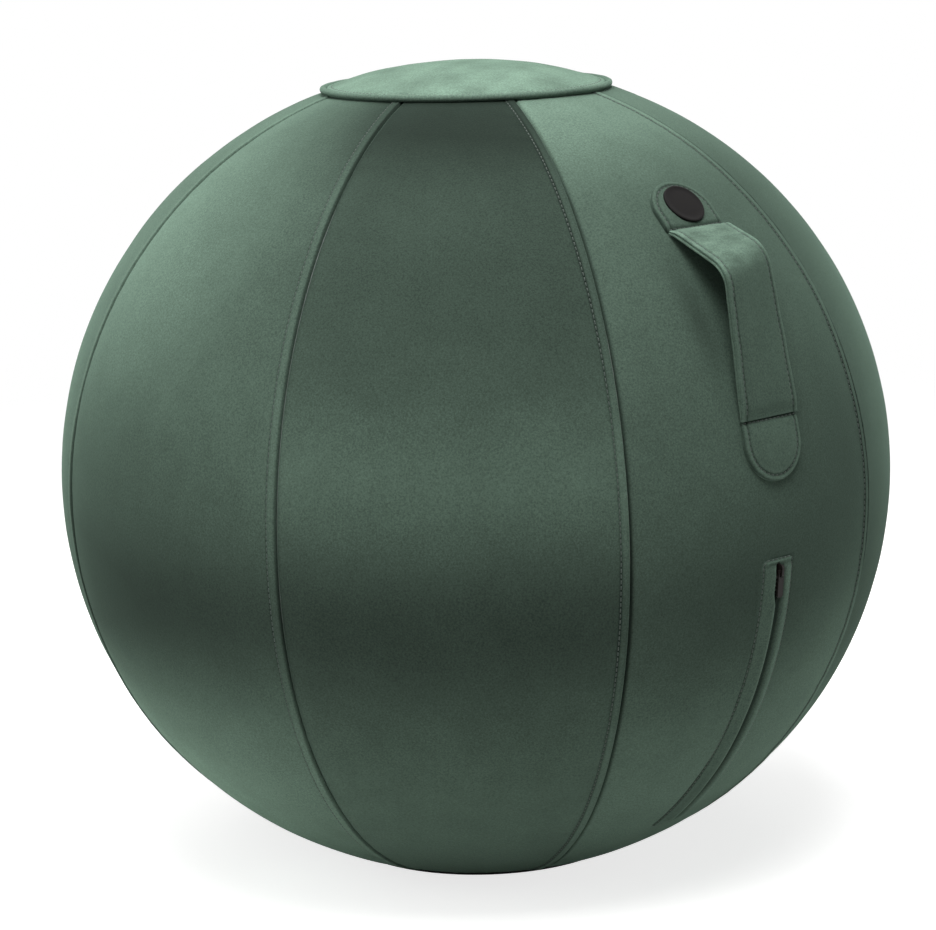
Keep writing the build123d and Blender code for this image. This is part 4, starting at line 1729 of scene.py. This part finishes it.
@dataclass(frozen=True)
class Studio:
    """White studio: pale floor, soft lamps, white surroundings, and the camera of the photograph."""

    skin: Skin
    distance: float = 2515.5
    azimuth: float = -41.6
    elevation: float = 11.7
    roll: float = -1.48
    frame_width_px: float = 936.0
    frame_height_px: float = 930.0
    focal_px: float = 3180.0
    middle_x_px: float = 475.9
    middle_y_px: float = 468.0
    sensor: float = 36.0
    lamp_distance: float = 2.4
    lamp_size: float = 1.4
    floor_lift: float = 0.76

    def build_camera(self) -> None:
        """Camera aimed at the ball's middle, rolled a little and shifted to the photograph's framing."""
        turn, tilt, roll = (radians(a) for a in (self.azimuth, self.elevation, self.roll))
        back = Vector((sin(turn) * cos(tilt), -cos(turn) * cos(tilt), sin(tilt)))
        right = Vector((cos(turn), sin(turn), 0.0))
        up = back.cross(right)
        rolled_right = right * cos(roll) + up * sin(roll)
        rolled_up = up * cos(roll) - right * sin(roll)
        data = bpy.data.cameras.new("photograph_camera")
        camera = link_new("photograph_camera", data)
        place = Vector((0, 0, self.skin.equator_height)) + back * self.distance
        turned = Matrix((rolled_right, rolled_up, back)).transposed().to_4x4()
        camera.matrix_world = Matrix.Translation(place * MM) @ turned
        data.sensor_width = self.sensor
        data.lens = self.focal_px / self.frame_width_px * self.sensor
        data.shift_x = (self.frame_width_px / 2 - self.middle_x_px) / self.frame_width_px
        data.shift_y = (self.middle_y_px - self.frame_height_px / 2) / self.frame_width_px
        data.clip_end = 50.0
        bpy.context.scene.camera = camera

    def add_lamp(self, name: str, place: tuple[float, ...], size: float, watts: float) -> None:
        """Adds a square soft lamp turned towards the ball's middle.

        Args:
            name: name of the lamp.
            place: where it stands, in metres.
            size: its side, in metres.
            watts: its power.
        """
        data = bpy.data.lights.new(name, "AREA")
        data.shape = "SQUARE"
        data.size = size
        data.energy = watts
        lamp = link_new(name, data)
        aim = Vector((0, 0, self.skin.equator_height * MM)) - Vector(place)
        lamp.matrix_world = Matrix.Translation(place) @ aim.to_track_quat("-Z", "Y").to_matrix().to_4x4()

    def around(self, turn: float, tilt: float, distance: float) -> tuple[float, ...]:
        """Place in metres round the ball's middle.

        Args:
            turn: degrees to the right of the camera.
            tilt: degrees above the middle.
            distance: metres from the middle.

        Returns:
            The place.
        """
        a, e = radians(self.azimuth + turn), radians(tilt)
        height = self.skin.equator_height * MM + distance * sin(e)
        return distance * sin(a) * cos(e), -distance * cos(a) * cos(e), height

    def build_lamps(self) -> None:
        """A key lamp high in front, weak ones at the sides, and two behind the ball that light its crown."""
        lamps = {
            "key_softbox": (0, 65, 52.0),
            "left_softbox": (-45, 35, 10.0),
            "low_left_softbox": (-90, 5, 7.5),
            "low_right_softbox": (85, 2, 6.0),
            "back_left_softbox": (-135, 65, 16.0),
            "back_right_softbox": (135, 65, 8.0),
        }
        for name, (turn, tilt, watts) in lamps.items():
            self.add_lamp(name, self.around(turn, tilt, self.lamp_distance), self.lamp_size, watts)

    def build_floor(self) -> None:
        """Pale round floor whose open parts look white, that keeps the shadow and fades out at its rim."""
        turn = np.linspace(0, 2 * pi, 96, endpoint=False)[None, :]
        radius = np.array([200.0, 900.0, 2000.0, 3600.0])[:, None]
        points = np.stack(np.broadcast_arrays(radius * np.cos(turn), radius * np.sin(turn), -0.2), axis=-1)
        points = points[:, ::-1]
        floor = grid_object("studio_floor", points, wrap_columns=True)
        disc = np.arange(96)[None, ::-1]
        fill = mesh_object("studio_floor_middle", points[0], [disc[:, ::-1]])
        material, tree = new_tree("matt_white_floor")
        path = add_node(tree, "LightPath")
        paint = add_node(tree, "BsdfDiffuse", {"Color": linear("#e9e9e7")})
        glow = {"Color": (self.floor_lift, self.floor_lift, self.floor_lift, 1.0)}
        lift = add_node(tree, "Emission", glow, {"Strength": path.outputs["Is Camera Ray"]})
        both = add_node(tree, "AddShader", {}, {0: paint.outputs[0], 1: lift.outputs[0]})
        place = add_node(tree, "TexCoord").outputs["Object"]
        away = add_node(tree, "VectorMath", {"operation": "LENGTH"}, {0: place})
        fade = add_node(
            tree,
            "MapRange",
            {"interpolation_type": "SMOOTHSTEP", "From Min": 0.75, "From Max": 2.2},
            {"Value": away.outputs["Value"]},
        )
        clear = add_node(tree, "BsdfTransparent")
        mixed = {0: fade.outputs["Result"], 1: both.outputs[0], 2: clear.outputs[0]}
        rim = add_node(tree, "MixShader", {}, mixed)
        add_node(tree, "OutputMaterial", {}, {"Surface": rim.outputs[0]})
        for piece in (floor, fill):
            piece.data.materials.append(material)

    def build_world(self) -> None:
        """Surroundings: white to the camera, in reflections and through clear things, dim grey otherwise."""
        world = bpy.data.worlds.new("white_studio")
        bpy.context.scene.world = world
        world.use_nodes = True
        tree = world.node_tree
        tree.nodes.clear()
        path = add_node(tree, "LightPath")
        seen = path.outputs["Is Camera Ray"]
        for ray in ("Is Glossy Ray", "Is Transmission Ray"):
            either = {0: seen, 1: path.outputs[ray]}
            seen = add_node(tree, "Math", {"operation": "MAXIMUM"}, either).outputs[0]
        strength = add_node(tree, "MapRange", {"To Min": 0.05, "To Max": 1.0}, {"Value": seen})
        white = {"Color": (1, 1, 1, 1)}
        sky = add_node(tree, "Background", white, {"Strength": strength.outputs["Result"]})
        add_node(tree, "OutputWorld", {}, {"Surface": sky.outputs[0]})

    def build(self) -> None:
        """Makes the camera, the floor, the lamps and the surroundings."""
        self.build_camera()
        self.build_floor()
        self.build_lamps()
        self.build_world()
        bpy.context.scene.view_settings.view_transform = "Standard"


def main() -> None:
    """Builds the sub-assemblies and the studio in order."""
    logging.basicConfig(level=logging.INFO, format="%(name)s: %(message)s")
    skin, finishes = Skin(), Finishes()
    Bladder(skin, finishes).build()
    Cover(skin, finishes).build()
    CrownCap(skin, finishes).build()
    BasePanel(skin, finishes).build()
    Handle(skin, finishes).build()
    Zip(skin, finishes).build()
    Studio(skin).build()


if __name__ == "__main__":
    main()
